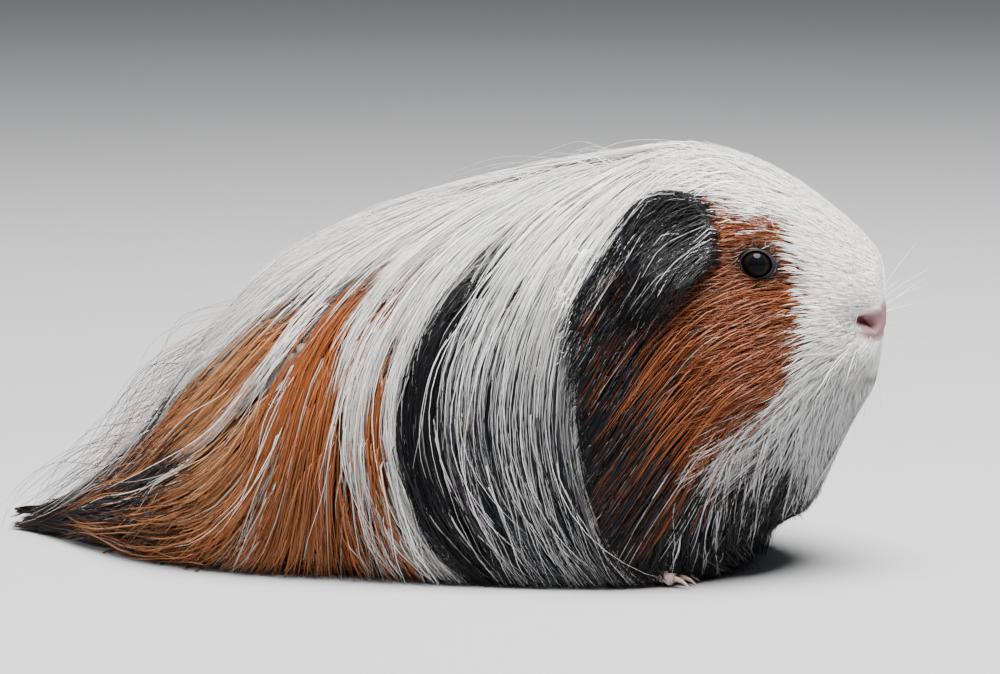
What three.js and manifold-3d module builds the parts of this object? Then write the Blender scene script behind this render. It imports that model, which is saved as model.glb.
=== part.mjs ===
// A long-haired guinea pig of the Sheltie breed, life size, crouched on the floor with its head up.
// Millimetres. +Z is up, the nose points to -Y and the animal's right side to -X.
// The origin is on the floor, under the middle of the bounding box.
//
// The body is one loft of rings, from the nose to the tip of the trailing coat, out to the tips
// of the hair. Each ring lies in a plane between a point of the back line and one of the
// underside, so the rings fan round under the raised head. Thin cuts part the loft into nodes.

import * as THREE from 'three';
import { ParametricGeometry } from 'three/addons/geometries/ParametricGeometry.js';
import { mergeVertices } from 'three/addons/utils/BufferGeometryUtils.js';
import Module from 'manifold-3d';

const wasm = await Module();
wasm.setup();

// ---------------------------------------------------------------- driving sizes

const NOSE_Y = -134;            // front of the nose pad
const TRAIN_Y = 134;            // tip of the coat that trails behind
const GAP = 0.3;                // clearance between neighbouring nodes

// The rings that the body hangs on: top [y, z], underside [y, z], half width, height of the
// widest line as a share of the ring, and roundness (2 is an ellipse, more is fuller).
// An underside below the floor is cut off flat at the floor.
const RINGS = [
  { name: 'nose tip', top: [NOSE_Y + 0.6, 78.5], under: [NOSE_Y + 0.6, 77.5], half: 0.5, wide: 0.50, round: 2.0 },
  { name: 'nose', top: [-132.2, 90], under: [-132.6, 64.5], half: 8.4, wide: 0.45, round: 2.0 },
  { name: 'lips', top: [-128.6, 96], under: [-130.2, 53], half: 13.2, wide: 0.42, round: 1.95 },
  { name: 'muzzle', top: [-121.5, 102.6], under: [-125, 43.5], half: 17.6, wide: 0.40, round: 1.95 },
  { name: 'bridge', top: [-110.5, 110.8], under: [-120.5, 34], half: 22.5, wide: 0.39, round: 1.95 },
  { name: 'brow', top: [-98, 117.6], under: [-117, 26], half: 28.5, wide: 0.38, round: 1.95 },
  { name: 'cheeks', top: [-86, 121.5], under: [-112, 17], half: 35.5, wide: 0.37, round: 1.95 },
  { name: 'nape', top: [-73, 122.7], under: [-101.5, 10], half: 42, wide: 0.36, round: 2.0 },
  { name: 'withers', top: [-54, 119.7], under: [-86, -12], half: 48.5, wide: 0.38, round: 2.1 },
  { name: 'shoulders', top: [-32, 115.8], under: [-62, -34], half: 54, wide: 0.45, round: 2.2 },
  { name: 'ribs', top: [-6, 109.4], under: [-30, -38], half: 58, wide: 0.49, round: 2.2 },
  { name: 'loin', top: [18, 101.5], under: [8, -38], half: 60, wide: 0.50, round: 2.2 },
  { name: 'rump', top: [41, 90], under: [38, -36], half: 58.5, wide: 0.50, round: 2.2 },
  { name: 'rump fall', top: [62, 70.5], under: [63, -32], half: 53, wide: 0.48, round: 2.2 },
  { name: 'hem', top: [81, 45.5], under: [82, -24], half: 43.5, wide: 0.46, round: 2.1 },
  { name: 'train root', top: [99, 24.5], under: [99, -14], half: 31.5, wide: 0.44, round: 2.0 },
  { name: 'train', top: [117, 10.5], under: [117, -7], half: 17, wide: 0.44, round: 2.0 },
  { name: 'train tip', top: [TRAIN_Y, 3.2], under: [TRAIN_Y, -2.6], half: 2.5, wide: 0.5, round: 2.0 },
];

// Soft swellings (+) and hollows (-) of the right side of the face: centre, spread and height.
// The left side mirrors them.
const FACE_FORMS = [
  { name: 'whisker pad', centre: [-11, -127, 66], spread: 7, height: 1.6 },
  { name: 'lower cheek', centre: [-31, -97, 58], spread: 13, height: 2.2 },
  { name: 'brow ridge', centre: [-19, -101, 100], spread: 6, height: 1.0 },
  { name: 'hollow before the eye', centre: [-20, -111, 85], spread: 7, height: -1.8 },
  { name: 'eye socket', centre: [-24, -100, 90], spread: 5.5, height: -1.6 },
  { name: 'corner of the mouth', centre: [-8, -131, 56], spread: 3.2, height: -1.4 },
];

const EYE = { centre: [-22.2, -99.8, 90.2], radius: 4.8 };
const NOSE = { centre: [0, -129.6, 76.5], radii: [7.2, 4.4, 7.4], nostril: 4.4, nostrilDepth: 1.6 };

// An ear is a drooping petal. It hangs from its upper front edge and its hollow looks outward.
const EAR = {
  centre: [-34.5, -75, 95], width: 26, length: 31, thickness: 1.5, cup: 4,
  turn: [14, 36, 16],           // degrees of roll, flare and sweep
};

// Paws: heel and ball on the floor, toes in a fan, and a claw on each toe.
const FORE_PAW = { heel: [-33, -61], length: 13, width: 9, height: 8.6, toes: 4, toe: 8, toeRadius: 2.2, splay: 46 };
const HIND_PAW = { heel: [-32, 59], length: 30, width: 12, height: 10, toes: 3, toe: 9, toeRadius: 2.7, splay: 30 };
const CLAW = { length: 5, radius: 0.95, drop: 1.6 };
const FORELEG = { wrist: [-33, -64, 11], elbow: [-31, -52, 38], wristRadius: 6.5, elbowRadius: 10 };
const THIGH = { centre: [-47, 38, 22], radii: [26, 31, 33] };

// ---------------------------------------------------------------- materials

const material = (name, color, roughness) => {
  const made = new THREE.MeshStandardMaterial({ color, roughness, metalness: 0 });
  made.name = name;
  return made;
};
const WHITE_COAT = material('white_coat', 0xe9e5dc, 0.75);
const RED_COAT = material('red_coat', 0xa2562b, 0.72);
const BLACK_COAT = material('black_coat', 0x1c1b20, 0.65);
const BARE_SKIN = material('bare_skin', 0xc99a90, 0.6);
const EYE_GLOSS = material('eye_gloss', 0x0b0a0d, 0.08);
const HORN = material('claw_horn', 0xb59a86, 0.4);

// ---------------------------------------------------------------- mesh helpers

// A ParametricGeometry over u, v in [0, 1] as one closed solid: the rows that close in a point
// and the seam are merged, and triangles without area are dropped.
function solid(surface, uSteps, vSteps) {
  const raw = new ParametricGeometry(surface, uSteps, vSteps);
  raw.deleteAttribute('normal');
  raw.deleteAttribute('uv');
  const merged = mergeVertices(raw, 1e-3);
  const index = Array.from(merged.index.array);
  const kept = [];
  for (let i = 0; i < index.length; i += 3) {
    const [a, b, c] = index.slice(i, i + 3);
    if (a !== b && b !== c && c !== a) kept.push(a, b, c);
  }
  merged.setIndex(kept);
  return outward(merged);
}

// The same geometry with its faces turned outward, judged by the sign of its volume.
function outward(geometry) {
  const at = geometry.attributes.position;
  const index = geometry.index.array;
  const [a, b, c] = [new THREE.Vector3(), new THREE.Vector3(), new THREE.Vector3()];
  let volume = 0;
  for (let i = 0; i < index.length; i += 3) {
    a.fromBufferAttribute(at, index[i]);
    b.fromBufferAttribute(at, index[i + 1]);
    c.fromBufferAttribute(at, index[i + 2]);
    volume += a.dot(b.cross(c));
  }
  if (volume < 0) {
    const turned = Array.from(index);
    for (let i = 0; i < turned.length; i += 3) {
      [turned[i + 1], turned[i + 2]] = [turned[i + 2], turned[i + 1]];
    }
    geometry.setIndex(turned);
  }
  return geometry;
}

function toManifold(geometry) {
  return new wasm.Manifold(new wasm.Mesh({
    numProp: 3,
    vertProperties: new Float32Array(geometry.attributes.position.array),
    triVerts: new Uint32Array(geometry.index.array),
  }));
}

function fromManifold(made) {
  const mesh = made.getMesh();
  const geometry = new THREE.BufferGeometry();
  geometry.setAttribute('position', new THREE.BufferAttribute(new Float32Array(mesh.vertProperties), 3));
  geometry.setIndex(Array.from(mesh.triVerts));
  return geometry;
}

// The geometry with each of the others cut out of it.
function cut(geometry, others) {
  let left = toManifold(geometry);
  for (const other of others) left = left.subtract(toManifold(other));
  return fromManifold(left);
}

function join(parts) {
  let whole = toManifold(parts[0]);
  for (const part of parts.slice(1)) whole = whole.add(toManifold(part));
  return fromManifold(whole);
}

function mirrored(geometry) {
  const copy = geometry.clone();
  copy.scale(-1, 1, 1);
  return outward(copy);
}

const both = (geometry) => [geometry, mirrored(geometry)];

// An ellipsoid with its poles on the Y axis; what would reach below the floor is laid flat on it.
function ellipsoid(centre, radii, steps = 12) {
  return solid((u, v, target) => {
    const polar = u * Math.PI;
    const around = v * 2 * Math.PI;
    target.set(
      centre[0] + radii[0] * Math.sin(polar) * Math.cos(around),
      centre[1] - radii[1] * Math.cos(polar),
      Math.max(0, centre[2] + radii[2] * Math.sin(polar) * Math.sin(around)),
    );
  }, steps / 2, steps);
}

// A round limb from one point to another, with its own radius at each end and round ends.
function limb(from, to, fromRadius, toRadius, steps = 6) {
  const start = new THREE.Vector3(...from);
  const axis = new THREE.Vector3(...to).sub(start);
  const length = axis.length();
  const side = new THREE.Vector3(1, 0, 0).cross(axis).normalize();
  const across = axis.clone().normalize().cross(side).normalize();
  const rows = 5;
  return solid((u, v, target) => {
    const row = Math.round(u * rows);
    const end = row <= 2 ? -1 : 1;
    const radius = end < 0 ? fromRadius : toRadius;
    const lean = (end < 0 ? 2 - row : row - 3) / 2 * Math.PI / 2;
    const along = (end < 0 ? 0 : length) + end * radius * Math.sin(lean);
    const spread = radius * Math.cos(lean);
    const around = v * 2 * Math.PI;
    target.copy(start).addScaledVector(axis, along / length);
    target.addScaledVector(side, spread * Math.cos(around));
    target.addScaledVector(across, spread * Math.sin(around));
    target.z = Math.max(0, target.z);
  }, rows, steps);
}

// ---------------------------------------------------------------- the loft

// Catmull-Rom through the rings: s counts rings from the nose, and may be a fraction.
function ringAt(s) {
  const last = RINGS.length - 1;
  const i = Math.min(Math.floor(s), last - 1);
  const t = s - i;
  const near = [i - 1, i, i + 1, i + 2].map((k) => RINGS[Math.min(Math.max(k, 0), last)]);
  const blend = (pick) => {
    const [a, b, c, d] = near.map(pick);
    return b + 0.5 * t * (c - a + t * (2 * a - 5 * b + 4 * c - d + t * (3 * (b - c) + d - a)));
  };
  return {
    topY: blend((r) => r.top[0]),
    topZ: blend((r) => r.top[1]),
    underY: blend((r) => r.under[0]),
    underZ: blend((r) => r.under[1]),
    half: blend((r) => r.half),
    wide: blend((r) => r.wide),
    round: blend((r) => r.round),
  };
}

// The height z as a share of a ring, from its underside to its top.
const shareAt = (ring, z) => (z - ring.underZ) / (ring.topZ - ring.underZ);

// A point of the coat's outer surface: ring s, and an angle a from the top, round by the left side.
function coatPoint(s, a, target) {
  const ring = ringAt(s);
  const power = 2 / ring.round;
  const cos = Math.cos(a);
  const sin = Math.sin(a);
  const rise = Math.abs(cos) ** power;
  const share = cos > 0 ? ring.wide + (1 - ring.wide) * rise : ring.wide * (1 - rise);
  const onFloor = Math.max(share, shareAt(ring, 0));
  target.set(
    ring.half * Math.sign(sin) * Math.abs(sin) ** power,
    ring.underY + (ring.topY - ring.underY) * onFloor,
    ring.underZ + (ring.topZ - ring.underZ) * onFloor,
  );
  for (const form of FACE_FORMS) {
    const [x, y, z] = form.centre;
    const away = Math.hypot(Math.abs(target.x) + x, target.y - y, target.z - z) / form.spread;
    const push = form.height * Math.exp(-away * away);
    target.x += push * 0.8 * Math.tanh(target.x / 3);
    target.y -= push * 0.5;
  }
}

// Half of a thin cut at ring s, as a share of the spacing between the rings.
function halfCut(s) {
  const step = 0.1;
  const spacing = [0, Math.PI].map((a) => {
    const from = new THREE.Vector3();
    const to = new THREE.Vector3();
    coatPoint(s, a, from);
    coatPoint(s + step, a, to);
    return from.distanceTo(to) / step;
  });
  return GAP / 2 / Math.min(...spacing);
}

// One stretch of the loft between two rings, closed at each end by a flat face.
function loft(from, to, stepsPerRing = 2, around = 30) {
  const rows = Math.round((to - from) * stepsPerRing);
  const first = from > 0 ? from + halfCut(from) : 0;
  const end = to < RINGS.length - 1 ? to - halfCut(to) : to;
  return solid((u, v, target) => {
    const row = Math.round(u * (rows + 2)) - 1;
    const s = first + (end - first) * Math.min(Math.max(row, 0), rows) / rows;
    if (row < 0 || row > rows) {
      const ring = ringAt(s);
      const middle = Math.max(0.45, shareAt(ring, 0) + 0.2);
      target.set(
        0,
        ring.underY + (ring.topY - ring.underY) * middle,
        ring.underZ + (ring.topZ - ring.underZ) * middle,
      );
      return;
    }
    coatPoint(s, v * 2 * Math.PI, target);
  }, rows + 2, around);
}

// ---------------------------------------------------------------- small parts

function eye(clearance = 0) {
  const radius = EYE.radius + clearance;
  return ellipsoid(EYE.centre, [radius, radius, radius], 16);
}

// The bare nose pad: an ellipsoid with a hollow for each nostril.
function nose(clearance = 0) {
  const radii = NOSE.radii.map((radius) => radius + clearance);
  const pad = ellipsoid(NOSE.centre, radii, 16);
  const at = pad.attributes.position;
  for (let i = 0; i < at.count && clearance === 0; i += 1) {
    const aside = Math.hypot(Math.abs(at.getX(i)) - NOSE.nostril, at.getZ(i) - NOSE.centre[2] + 1.5) / 1.8;
    if (at.getY(i) < NOSE.centre[1]) at.setY(i, at.getY(i) + NOSE.nostrilDepth * Math.exp(-aside * aside));
  }
  return pad;
}

// A petal of even thickness, cupped and narrowed towards its tip.
function ear(clearance = 0) {
  const petal = solid((u, v, target) => {
    const angle = v * 2 * Math.PI;
    const face = u < 0.5 ? 1 : -1;
    const reach = Math.sin(Math.min(u, 1 - u) * Math.PI);
    const narrow = 1 - 0.18 * Math.sin(angle);
    const across = (EAR.width / 2 + clearance) * reach * narrow * Math.cos(angle);
    const along = (EAR.length / 2 + clearance) * reach * Math.sin(angle);
    const thick = (EAR.thickness / 2 + clearance) * face * Math.sqrt(Math.max(0, 1 - reach ** 6));
    target.set(-EAR.cup * reach * reach + thick, across, -along);
  }, 8, 16);
  const [roll, flare, sweep] = EAR.turn.map(THREE.MathUtils.degToRad);
  petal.applyMatrix4(new THREE.Matrix4().makeRotationFromEuler(new THREE.Euler(roll, flare, sweep)));
  return petal.translate(...EAR.centre);
}

// The directions in which a paw's toes fan out, as angles from straight ahead.
function toeAngles(paw) {
  return Array.from({ length: paw.toes }, (_, i) => (i / (paw.toes - 1) - 0.5) * paw.splay)
    .map(THREE.MathUtils.degToRad);
}

// Where a toe starts at the ball of the paw, and where it ends.
function toeLine(paw, angle) {
  const ball = [paw.heel[0], paw.heel[1] - paw.length + paw.toeRadius];
  const from = [ball[0] + Math.sin(angle) * paw.width * 0.62, ball[1] - 1, paw.toeRadius];
  const to = [from[0] + Math.sin(angle) * paw.toe, from[1] - Math.cos(angle) * paw.toe, paw.toeRadius];
  return { from, to };
}

function sole(shape, clearance = 0) {
  const middle = [shape.heel[0], shape.heel[1] - shape.length / 2, shape.height / 2];
  const radii = [shape.width / 2, shape.length / 2 + 2, shape.height / 2 + 1];
  return ellipsoid(middle, radii.map((radius) => radius + clearance), 10);
}

function paw(shape) {
  const toes = toeAngles(shape).map((angle) => {
    const { from, to } = toeLine(shape, angle);
    return limb(from, to, shape.toeRadius, shape.toeRadius * 0.85);
  });
  return join([sole(shape), ...toes]);
}

// The room that the coat leaves round a paw: the sole's, and one flat hollow for toes and claws.
function pawRoom(shape) {
  const reach = shape.toe + CLAW.length + shape.toeRadius;
  const middle = [shape.heel[0], shape.heel[1] - shape.length - reach * 0.42, 0];
  const spread = shape.width / 2 + Math.sin(THREE.MathUtils.degToRad(shape.splay / 2)) * reach + 3;
  const hollow = ellipsoid(middle, [spread, reach * 0.9, shape.toeRadius * 2.6], 12);
  return [sole(shape, GAP), hollow].flatMap(both);
}

// A claw tapers from inside a toe's end to a point near the floor.
function claws(shape) {
  return toeAngles(shape).map((angle) => {
    const { to } = toeLine(shape, angle);
    const start = shape.toeRadius * 0.85 + GAP;
    const ahead = (distance, drop) => [
      to[0] + Math.sin(angle) * distance,
      to[1] - Math.cos(angle) * distance,
      to[2] - drop + 0.4,
    ];
    return limb(
      ahead(start + CLAW.radius, 0),
      ahead(start + CLAW.length - CLAW.radius, CLAW.drop),
      CLAW.radius,
      CLAW.radius * 0.45,
    );
  });
}

function foreleg(clearance = 0) {
  const { wrist, elbow, wristRadius, elbowRadius } = FORELEG;
  return limb(wrist, elbow, wristRadius + clearance, elbowRadius + clearance, 10);
}

const thigh = (clearance = 0) => ellipsoid(THIGH.centre, THIGH.radii.map((r) => r + clearance), 14);

// ---------------------------------------------------------------- assembly

const group = new THREE.Group();

function place(name, geometry, look) {
  const mesh = new THREE.Mesh(geometry, look);
  mesh.name = name;
  group.add(mesh);
}

function placeSides(name, geometry, look) {
  place(`${name}_right`, geometry, look);
  place(`${name}_left`, mirrored(geometry), look);
}

const earRoom = both(ear(GAP));
const foreRoom = [...both(foreleg(GAP)), ...pawRoom(FORE_PAW)];
const hindRoom = pawRoom(HIND_PAW);

place('head', cut(loft(0, 6.5, 3), [...both(eye(GAP)), nose(GAP), ...earRoom]), WHITE_COAT);
place('neck', cut(loft(6.5, 8, 4), [...earRoom, ...foreRoom]), WHITE_COAT);
place('trunk', cut(loft(8, 11), [...foreRoom, ...both(thigh(GAP))]), WHITE_COAT);
place('hindquarters', cut(loft(11, 14), [...both(thigh(GAP)), ...hindRoom]), RED_COAT);
place('coat_train', loft(14, RINGS.length - 1), BLACK_COAT);

place('nose', nose(), BARE_SKIN);
placeSides('eye', eye(), EYE_GLOSS);
placeSides('ear', ear(), BLACK_COAT);

placeSides('foreleg', cut(foreleg(), [sole(FORE_PAW, GAP)]), RED_COAT);
placeSides('forefoot', paw(FORE_PAW), BARE_SKIN);
claws(FORE_PAW).forEach((claw, i) => placeSides(`foreclaw_${i + 1}`, claw, HORN));

const hindBody = toManifold(loft(10, 14));
const hindleg = fromManifold(toManifold(thigh()).intersect(hindBody));
placeSides('hindleg', cut(hindleg, hindRoom), RED_COAT);
placeSides('hindfoot', paw(HIND_PAW), BARE_SKIN);
claws(HIND_PAW).forEach((claw, i) => placeSides(`hindclaw_${i + 1}`, claw, HORN));

export default group;
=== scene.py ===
"""A long-haired guinea pig of the Sheltie breed, crouched on the floor with its head up.

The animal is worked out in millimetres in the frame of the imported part: +Z up, nose to -Y, its
right side to -X. Every point of skin and coat comes from one loft of rings: s counts rings from
the nose to the tip of the trailing coat, and a is the angle round a ring, from the back line (0)
down the flank (90 degrees) to the underside (180). side is -1 for its right and +1 for its left.
"""

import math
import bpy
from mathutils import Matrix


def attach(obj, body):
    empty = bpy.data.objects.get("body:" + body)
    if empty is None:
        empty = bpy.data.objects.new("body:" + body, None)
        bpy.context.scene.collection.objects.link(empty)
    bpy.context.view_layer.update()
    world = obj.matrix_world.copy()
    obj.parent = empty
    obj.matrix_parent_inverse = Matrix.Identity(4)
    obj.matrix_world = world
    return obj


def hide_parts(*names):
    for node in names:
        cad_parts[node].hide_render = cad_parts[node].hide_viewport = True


bl_info = {
    "name": "Long-haired guinea pig",
    "version": (1, 0, 0),
    "blender": (4, 5, 0),
    "location": "3D Viewport > Sidebar > Guinea pig",
    "description": "Skin, eyes, claws and long coat of a Sheltie guinea pig round its packed solids",
    "category": "Add Mesh",
}

import bpy
import numpy as np
from bpy.props import FloatProperty, FloatVectorProperty, IntProperty, PointerProperty
from mathutils import Vector

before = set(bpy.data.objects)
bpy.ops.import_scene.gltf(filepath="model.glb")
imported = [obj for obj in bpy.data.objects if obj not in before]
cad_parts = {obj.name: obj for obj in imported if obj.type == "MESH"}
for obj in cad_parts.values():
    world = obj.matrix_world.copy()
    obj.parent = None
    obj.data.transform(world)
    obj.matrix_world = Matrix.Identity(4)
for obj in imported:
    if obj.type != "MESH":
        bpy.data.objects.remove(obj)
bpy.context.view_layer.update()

MM = 0.001
RIGHT = -1.0
LEFT = 1.0
DEGREE = math.pi / 180
LAST_RING = 17.0

# Rings of the coat's outer surface: back line y, z; underside y, z; half width; height of the
# widest line as a share of the ring; roundness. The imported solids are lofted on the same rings.
RINGS = np.array([
    [-133.4, 78.5, -133.4, 77.5, 0.5, 0.50, 2.00],
    [-132.2, 90.0, -132.6, 64.5, 8.4, 0.45, 2.00],
    [-128.6, 96.0, -130.2, 53.0, 13.2, 0.42, 1.95],
    [-121.5, 102.6, -125.0, 43.5, 17.6, 0.40, 1.95],
    [-110.5, 110.8, -120.5, 34.0, 22.5, 0.39, 1.95],
    [-98.0, 117.6, -117.0, 26.0, 28.5, 0.38, 1.95],
    [-86.0, 121.5, -112.0, 17.0, 35.5, 0.37, 1.95],
    [-73.0, 122.7, -101.5, 10.0, 42.0, 0.36, 2.00],
    [-54.0, 119.7, -86.0, -12.0, 48.5, 0.38, 2.10],
    [-32.0, 115.8, -62.0, -34.0, 54.0, 0.45, 2.20],
    [-6.0, 109.4, -30.0, -38.0, 58.0, 0.49, 2.20],
    [18.0, 101.5, 8.0, -38.0, 60.0, 0.50, 2.20],
    [41.0, 90.0, 38.0, -36.0, 58.5, 0.50, 2.20],
    [62.0, 70.5, 63.0, -32.0, 53.0, 0.48, 2.20],
    [81.0, 45.5, 82.0, -24.0, 43.5, 0.46, 2.10],
    [99.0, 24.5, 99.0, -14.0, 31.5, 0.44, 2.00],
    [117.0, 10.5, 117.0, -7.0, 17.0, 0.44, 2.00],
    [134.0, 3.2, 134.0, -2.6, 2.5, 0.50, 2.00],
])

# Depth of the coat over the skin at the back line and at the underside, by ring.
DEPTH_RINGS = [0, 1, 2, 3, 4, 5, 6, 7, 8, 9, 12, 14, 17]
DEPTH_TOP = [0.0, 0.3, 0.9, 1.3, 1.6, 2.0, 3.0, 6.0, 9.0, 11.0, 12.0, 14.0, 14.0]
DEPTH_LOW = [0.0, 0.4, 1.6, 4.0, 7.0, 9.0, 11.0, 12.5, 13.0, 13.0, 13.0, 15.0, 15.0]
# The skin rounds off from the hips to the rump, and its belly stays this high over the floor.
HIP_RING = 12.2
RUMP_RING = 14.5
BELLY = 7.0

# Soft forms of the face, mirrored on both sides: centre, spread and height.
FACE_FORMS = [
    ((-11.0, -127.0, 66.0), 7.0, 1.6),
    ((-31.0, -97.0, 58.0), 13.0, 2.2),
    ((-19.0, -101.0, 100.0), 6.0, 1.0),
    ((-20.0, -111.0, 85.0), 7.0, -1.8),
    ((-24.0, -100.0, 90.0), 5.5, -1.6),
    ((-8.0, -131.0, 56.0), 3.2, -1.4),
    ((-13.5, -128.5, 72.0), 6.5, -3.6),
]

EYE = np.array([-22.2, -99.8, 90.2])
EYE_AXIS = np.array([-0.945, -0.26, 0.20])
SIDES = (RIGHT, LEFT)


# ---------------------------------------------------------------- the loft

def unit(v):
    """Vectors of the last axis, each divided by its length."""
    return v / np.maximum(np.linalg.norm(v, axis=-1, keepdims=True), 1e-9)


def smooth(low, high, x):
    """0 below low, 1 above high, and a smooth S between them."""
    t = np.clip((x - low) / (high - low), 0, 1)
    return t * t * (3 - 2 * t)


def mirror(side):
    """Turns a place given for the right side into the same place on either side."""
    return np.array([-side, 1.0, 1.0])


def full_turn(count):
    """Angles of a full turn, evenly spaced, as one row."""
    return (np.arange(count) / count * 2 * math.pi)[None, :]


def ring_at(s):
    """The ring at a fractional count s, by a Catmull-Rom curve through the rings."""
    s = np.clip(np.asarray(s, float), 0, LAST_RING)
    last = len(RINGS) - 1
    i = np.minimum(s.astype(int), last - 1)
    t = (s - i)[..., None]
    a, b, c, d = (RINGS[np.clip(i + k, 0, last)] for k in (-1, 0, 1, 2))
    return b + 0.5 * t * (c - a + t * (2 * a - 5 * b + 4 * c - d + t * (3 * (b - c) + d - a)))


def ring_share(ring, a):
    """Height round a ring as a share of it: a superellipse whose widest line is off centre."""
    wide = ring[..., 5]
    rise = np.abs(np.cos(a)) ** (2 / ring[..., 6])
    return np.where(np.cos(a) > 0, wide + (1 - wide) * rise, wide * (1 - rise))


def half_width(ring, a):
    """Half width round a ring, by the same superellipse."""
    return ring[..., 4] * np.abs(np.sin(a)) ** (2 / ring[..., 6]) * np.sign(np.sin(a))


def ring_place(ring, x, share):
    """A point at half width x and a height share, in the ring's own plane."""
    y = ring[..., 2] + (ring[..., 0] - ring[..., 2]) * share
    z = ring[..., 3] + (ring[..., 1] - ring[..., 3]) * share
    return np.stack(np.broadcast_arrays(x, y, z), -1)


def share_of(ring, z):
    """The height z as a share of the ring."""
    return (z - ring[..., 3]) / (ring[..., 1] - ring[..., 3])


def with_forms(point):
    """The point pushed out or in by each soft form of the face, falling off as a bell curve."""
    for centre, spread, height in FACE_FORMS:
        off = np.stack([np.abs(point[..., 0]), point[..., 1], point[..., 2]], -1) - centre * mirror(LEFT)
        push = height * np.exp(-(off ** 2).sum(-1) / spread ** 2)
        point = point + np.stack([0.8 * push * np.tanh(point[..., 0] / 3), -0.5 * push, 0 * push], -1)
    return point


def coat_point(s, a, side=RIGHT):
    """The coat's outer surface: ring s at angle a, cut flat at the floor."""
    ring = ring_at(s)
    share = np.maximum(ring_share(ring, a), share_of(ring, 0.0))
    return with_forms(ring_place(ring, side * half_width(ring, a), share))


def coat_depth(s, a):
    """The coat's depth over the skin: from its value at the back line to that of the underside."""
    top = np.interp(s, DEPTH_RINGS, DEPTH_TOP)
    low = np.interp(s, DEPTH_RINGS, DEPTH_LOW)
    return top + (low - top) * smooth(55 * DEGREE, 135 * DEGREE, np.arccos(np.cos(a)))


def skin_point(s, a, side=RIGHT):
    """The skin: the ring drawn in towards its middle by the coat's depth, and above the floor."""
    ring = ring_at(s)
    x = half_width(ring, a)
    middle = ring_place(ring, 0.0 * x, ring[..., 5] + 0 * x)
    rim = ring_place(ring, x, ring_share(ring, a))
    reach = np.linalg.norm(rim - middle, axis=-1)
    keep = np.maximum(reach - coat_depth(s, a), 0.25 * reach) / np.maximum(reach, 1e-6)
    closing = (s - HIP_RING) / (RUMP_RING - HIP_RING)
    keep = keep * np.sqrt(np.clip(1 - closing ** 2 * (s > HIP_RING), 0.0004, 1))
    point = middle + (rim - middle) * keep[..., None]
    share = np.maximum(share_of(ring, point[..., 2]), np.maximum(share_of(ring, BELLY), 0))
    return with_forms(ring_place(ring, side * point[..., 0], share))


def layer_point(s, a, depth, side=RIGHT):
    """Between the coat's surface (depth 0) and the skin (depth 1)."""
    depth = np.asarray(depth)[..., None]
    return coat_point(s, a, side) * (1 - depth) + skin_point(s, a, side) * depth


def tangents(surface, s, a, side, small):
    """Differences of a surface over twice a small step of s, and of a."""
    by_s = surface(s + small, a, side) - surface(s - small, a, side)
    return by_s, surface(s, a + small, side) - surface(s, a - small, side)


def hem_angle(s):
    """The angle at which the coat of ring s comes within half a millimetre of the floor."""
    ring = ring_at(s)
    rise = np.clip(1 - share_of(ring, 0.6) / ring[..., 5], 0, 1)
    return np.arccos(-np.clip(rise ** (ring[..., 6] / 2), 0, 0.9996))


# ---------------------------------------------------------------- markings

WHITE, RED, BLACK = 0, 1, 2


def flow_label(s, a):
    """The ring at which the hair rooted at s, a passes the middle of the flank."""
    lift = np.clip(1 - a / (85 * DEGREE), 0, 1) ** 2
    swept = 0.042 * np.clip(a / DEGREE - 90, 0, 24) * band(s, 8.8, 12.5, 0.5)
    return (s - 0.08 * lift) / (1 - 0.35 * lift) + swept


def band(x, low, high, soft):
    """1 between low and high, with soft edges."""
    return smooth(low - soft, low + soft, x) * (1 - smooth(high - soft, high + soft, x))


# Millimetres of the flank to one ring and to one degree.
FLANK_SCALE = np.array([19.0, 0.75])


def streak(s, deg, line, half, soft=1.0):
    """1 within half a streak's width, in millimetres, of a line of (s, degrees) places."""
    line = np.asarray(line) * FLANK_SCALE
    here = np.stack([s, deg], -1) * FLANK_SCALE
    nearest = np.full(np.shape(s), 1e9)
    for start, end in zip(line[:-1], line[1:]):
        run = end - start
        share = np.clip(((here - start) * run).sum(-1) / (run @ run), 0, 1)[..., None]
        nearest = np.minimum(nearest, np.linalg.norm(here - start - run * share, axis=-1))
    return 1 - smooth(half - soft, half + soft, nearest)


# Streaks of the right flank and rump: colour, half width in millimetres, then the line it follows.
RUMP_STREAKS = [
    ("red", 4.6, [
        (10.05, 33), (10.2, 36), (10.62, 44), (10.86, 50), (11.02, 60), (11.12, 69), (11.08, 86), (11.02, 97),
    ]),
    ("white", 3.2, [(9.84, 26), (10.42, 45), (10.62, 56), (10.72, 70), (10.74, 88)]),
    ("red", 1.3, [(10.3, 57), (10.60, 72), (10.62, 87)]),
    ("white", 2.0, [(11.1, 42), (11.48, 52), (11.9, 60), (12.4, 68), (13.48, 84)]),
    ("white", 1.5, [(11.46, 58), (11.5, 73), (11.7, 88)]),
    ("black", 3.4, [(12.5, 62), (13.14, 72), (13.66, 77), (14.6, 77)]),
    ("red", 2.6, [(11.56, 40), (12.48, 55), (13.84, 54), (14.88, 44), (15.4, 46)]),
]

# Upper edge of the cheek patch, with the pale notch over the eye: rings, degrees. Then its front
# edge as degrees and rings, its lower edge, and the upper edge of the red of the rear.
CHEEK_TOP = (
    [3.9, 4.1, 4.25, 4.4, 4.6, 4.85, 5.1, 5.4, 6.1, 6.9, 7.6], [66, 58, 49, 38, 34, 38, 45, 40, 33, 36, 50],
)
CHEEK_FRONT = ([55, 62, 69, 79, 85, 94, 98, 104], [3.9, 3.85, 4.0, 4.2, 4.35, 4.7, 5.2, 6.1])
CHEEK_LOW = ([4.2, 5.2, 6.2, 7.5, 8.5], [100, 100, 99, 97, 97])
REAR_TOP = ([10.2, 10.9, 11.3, 12.1, 13.0, 14.0, 16.0], [33, 38, 35, 39, 44, 45, 42])


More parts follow.
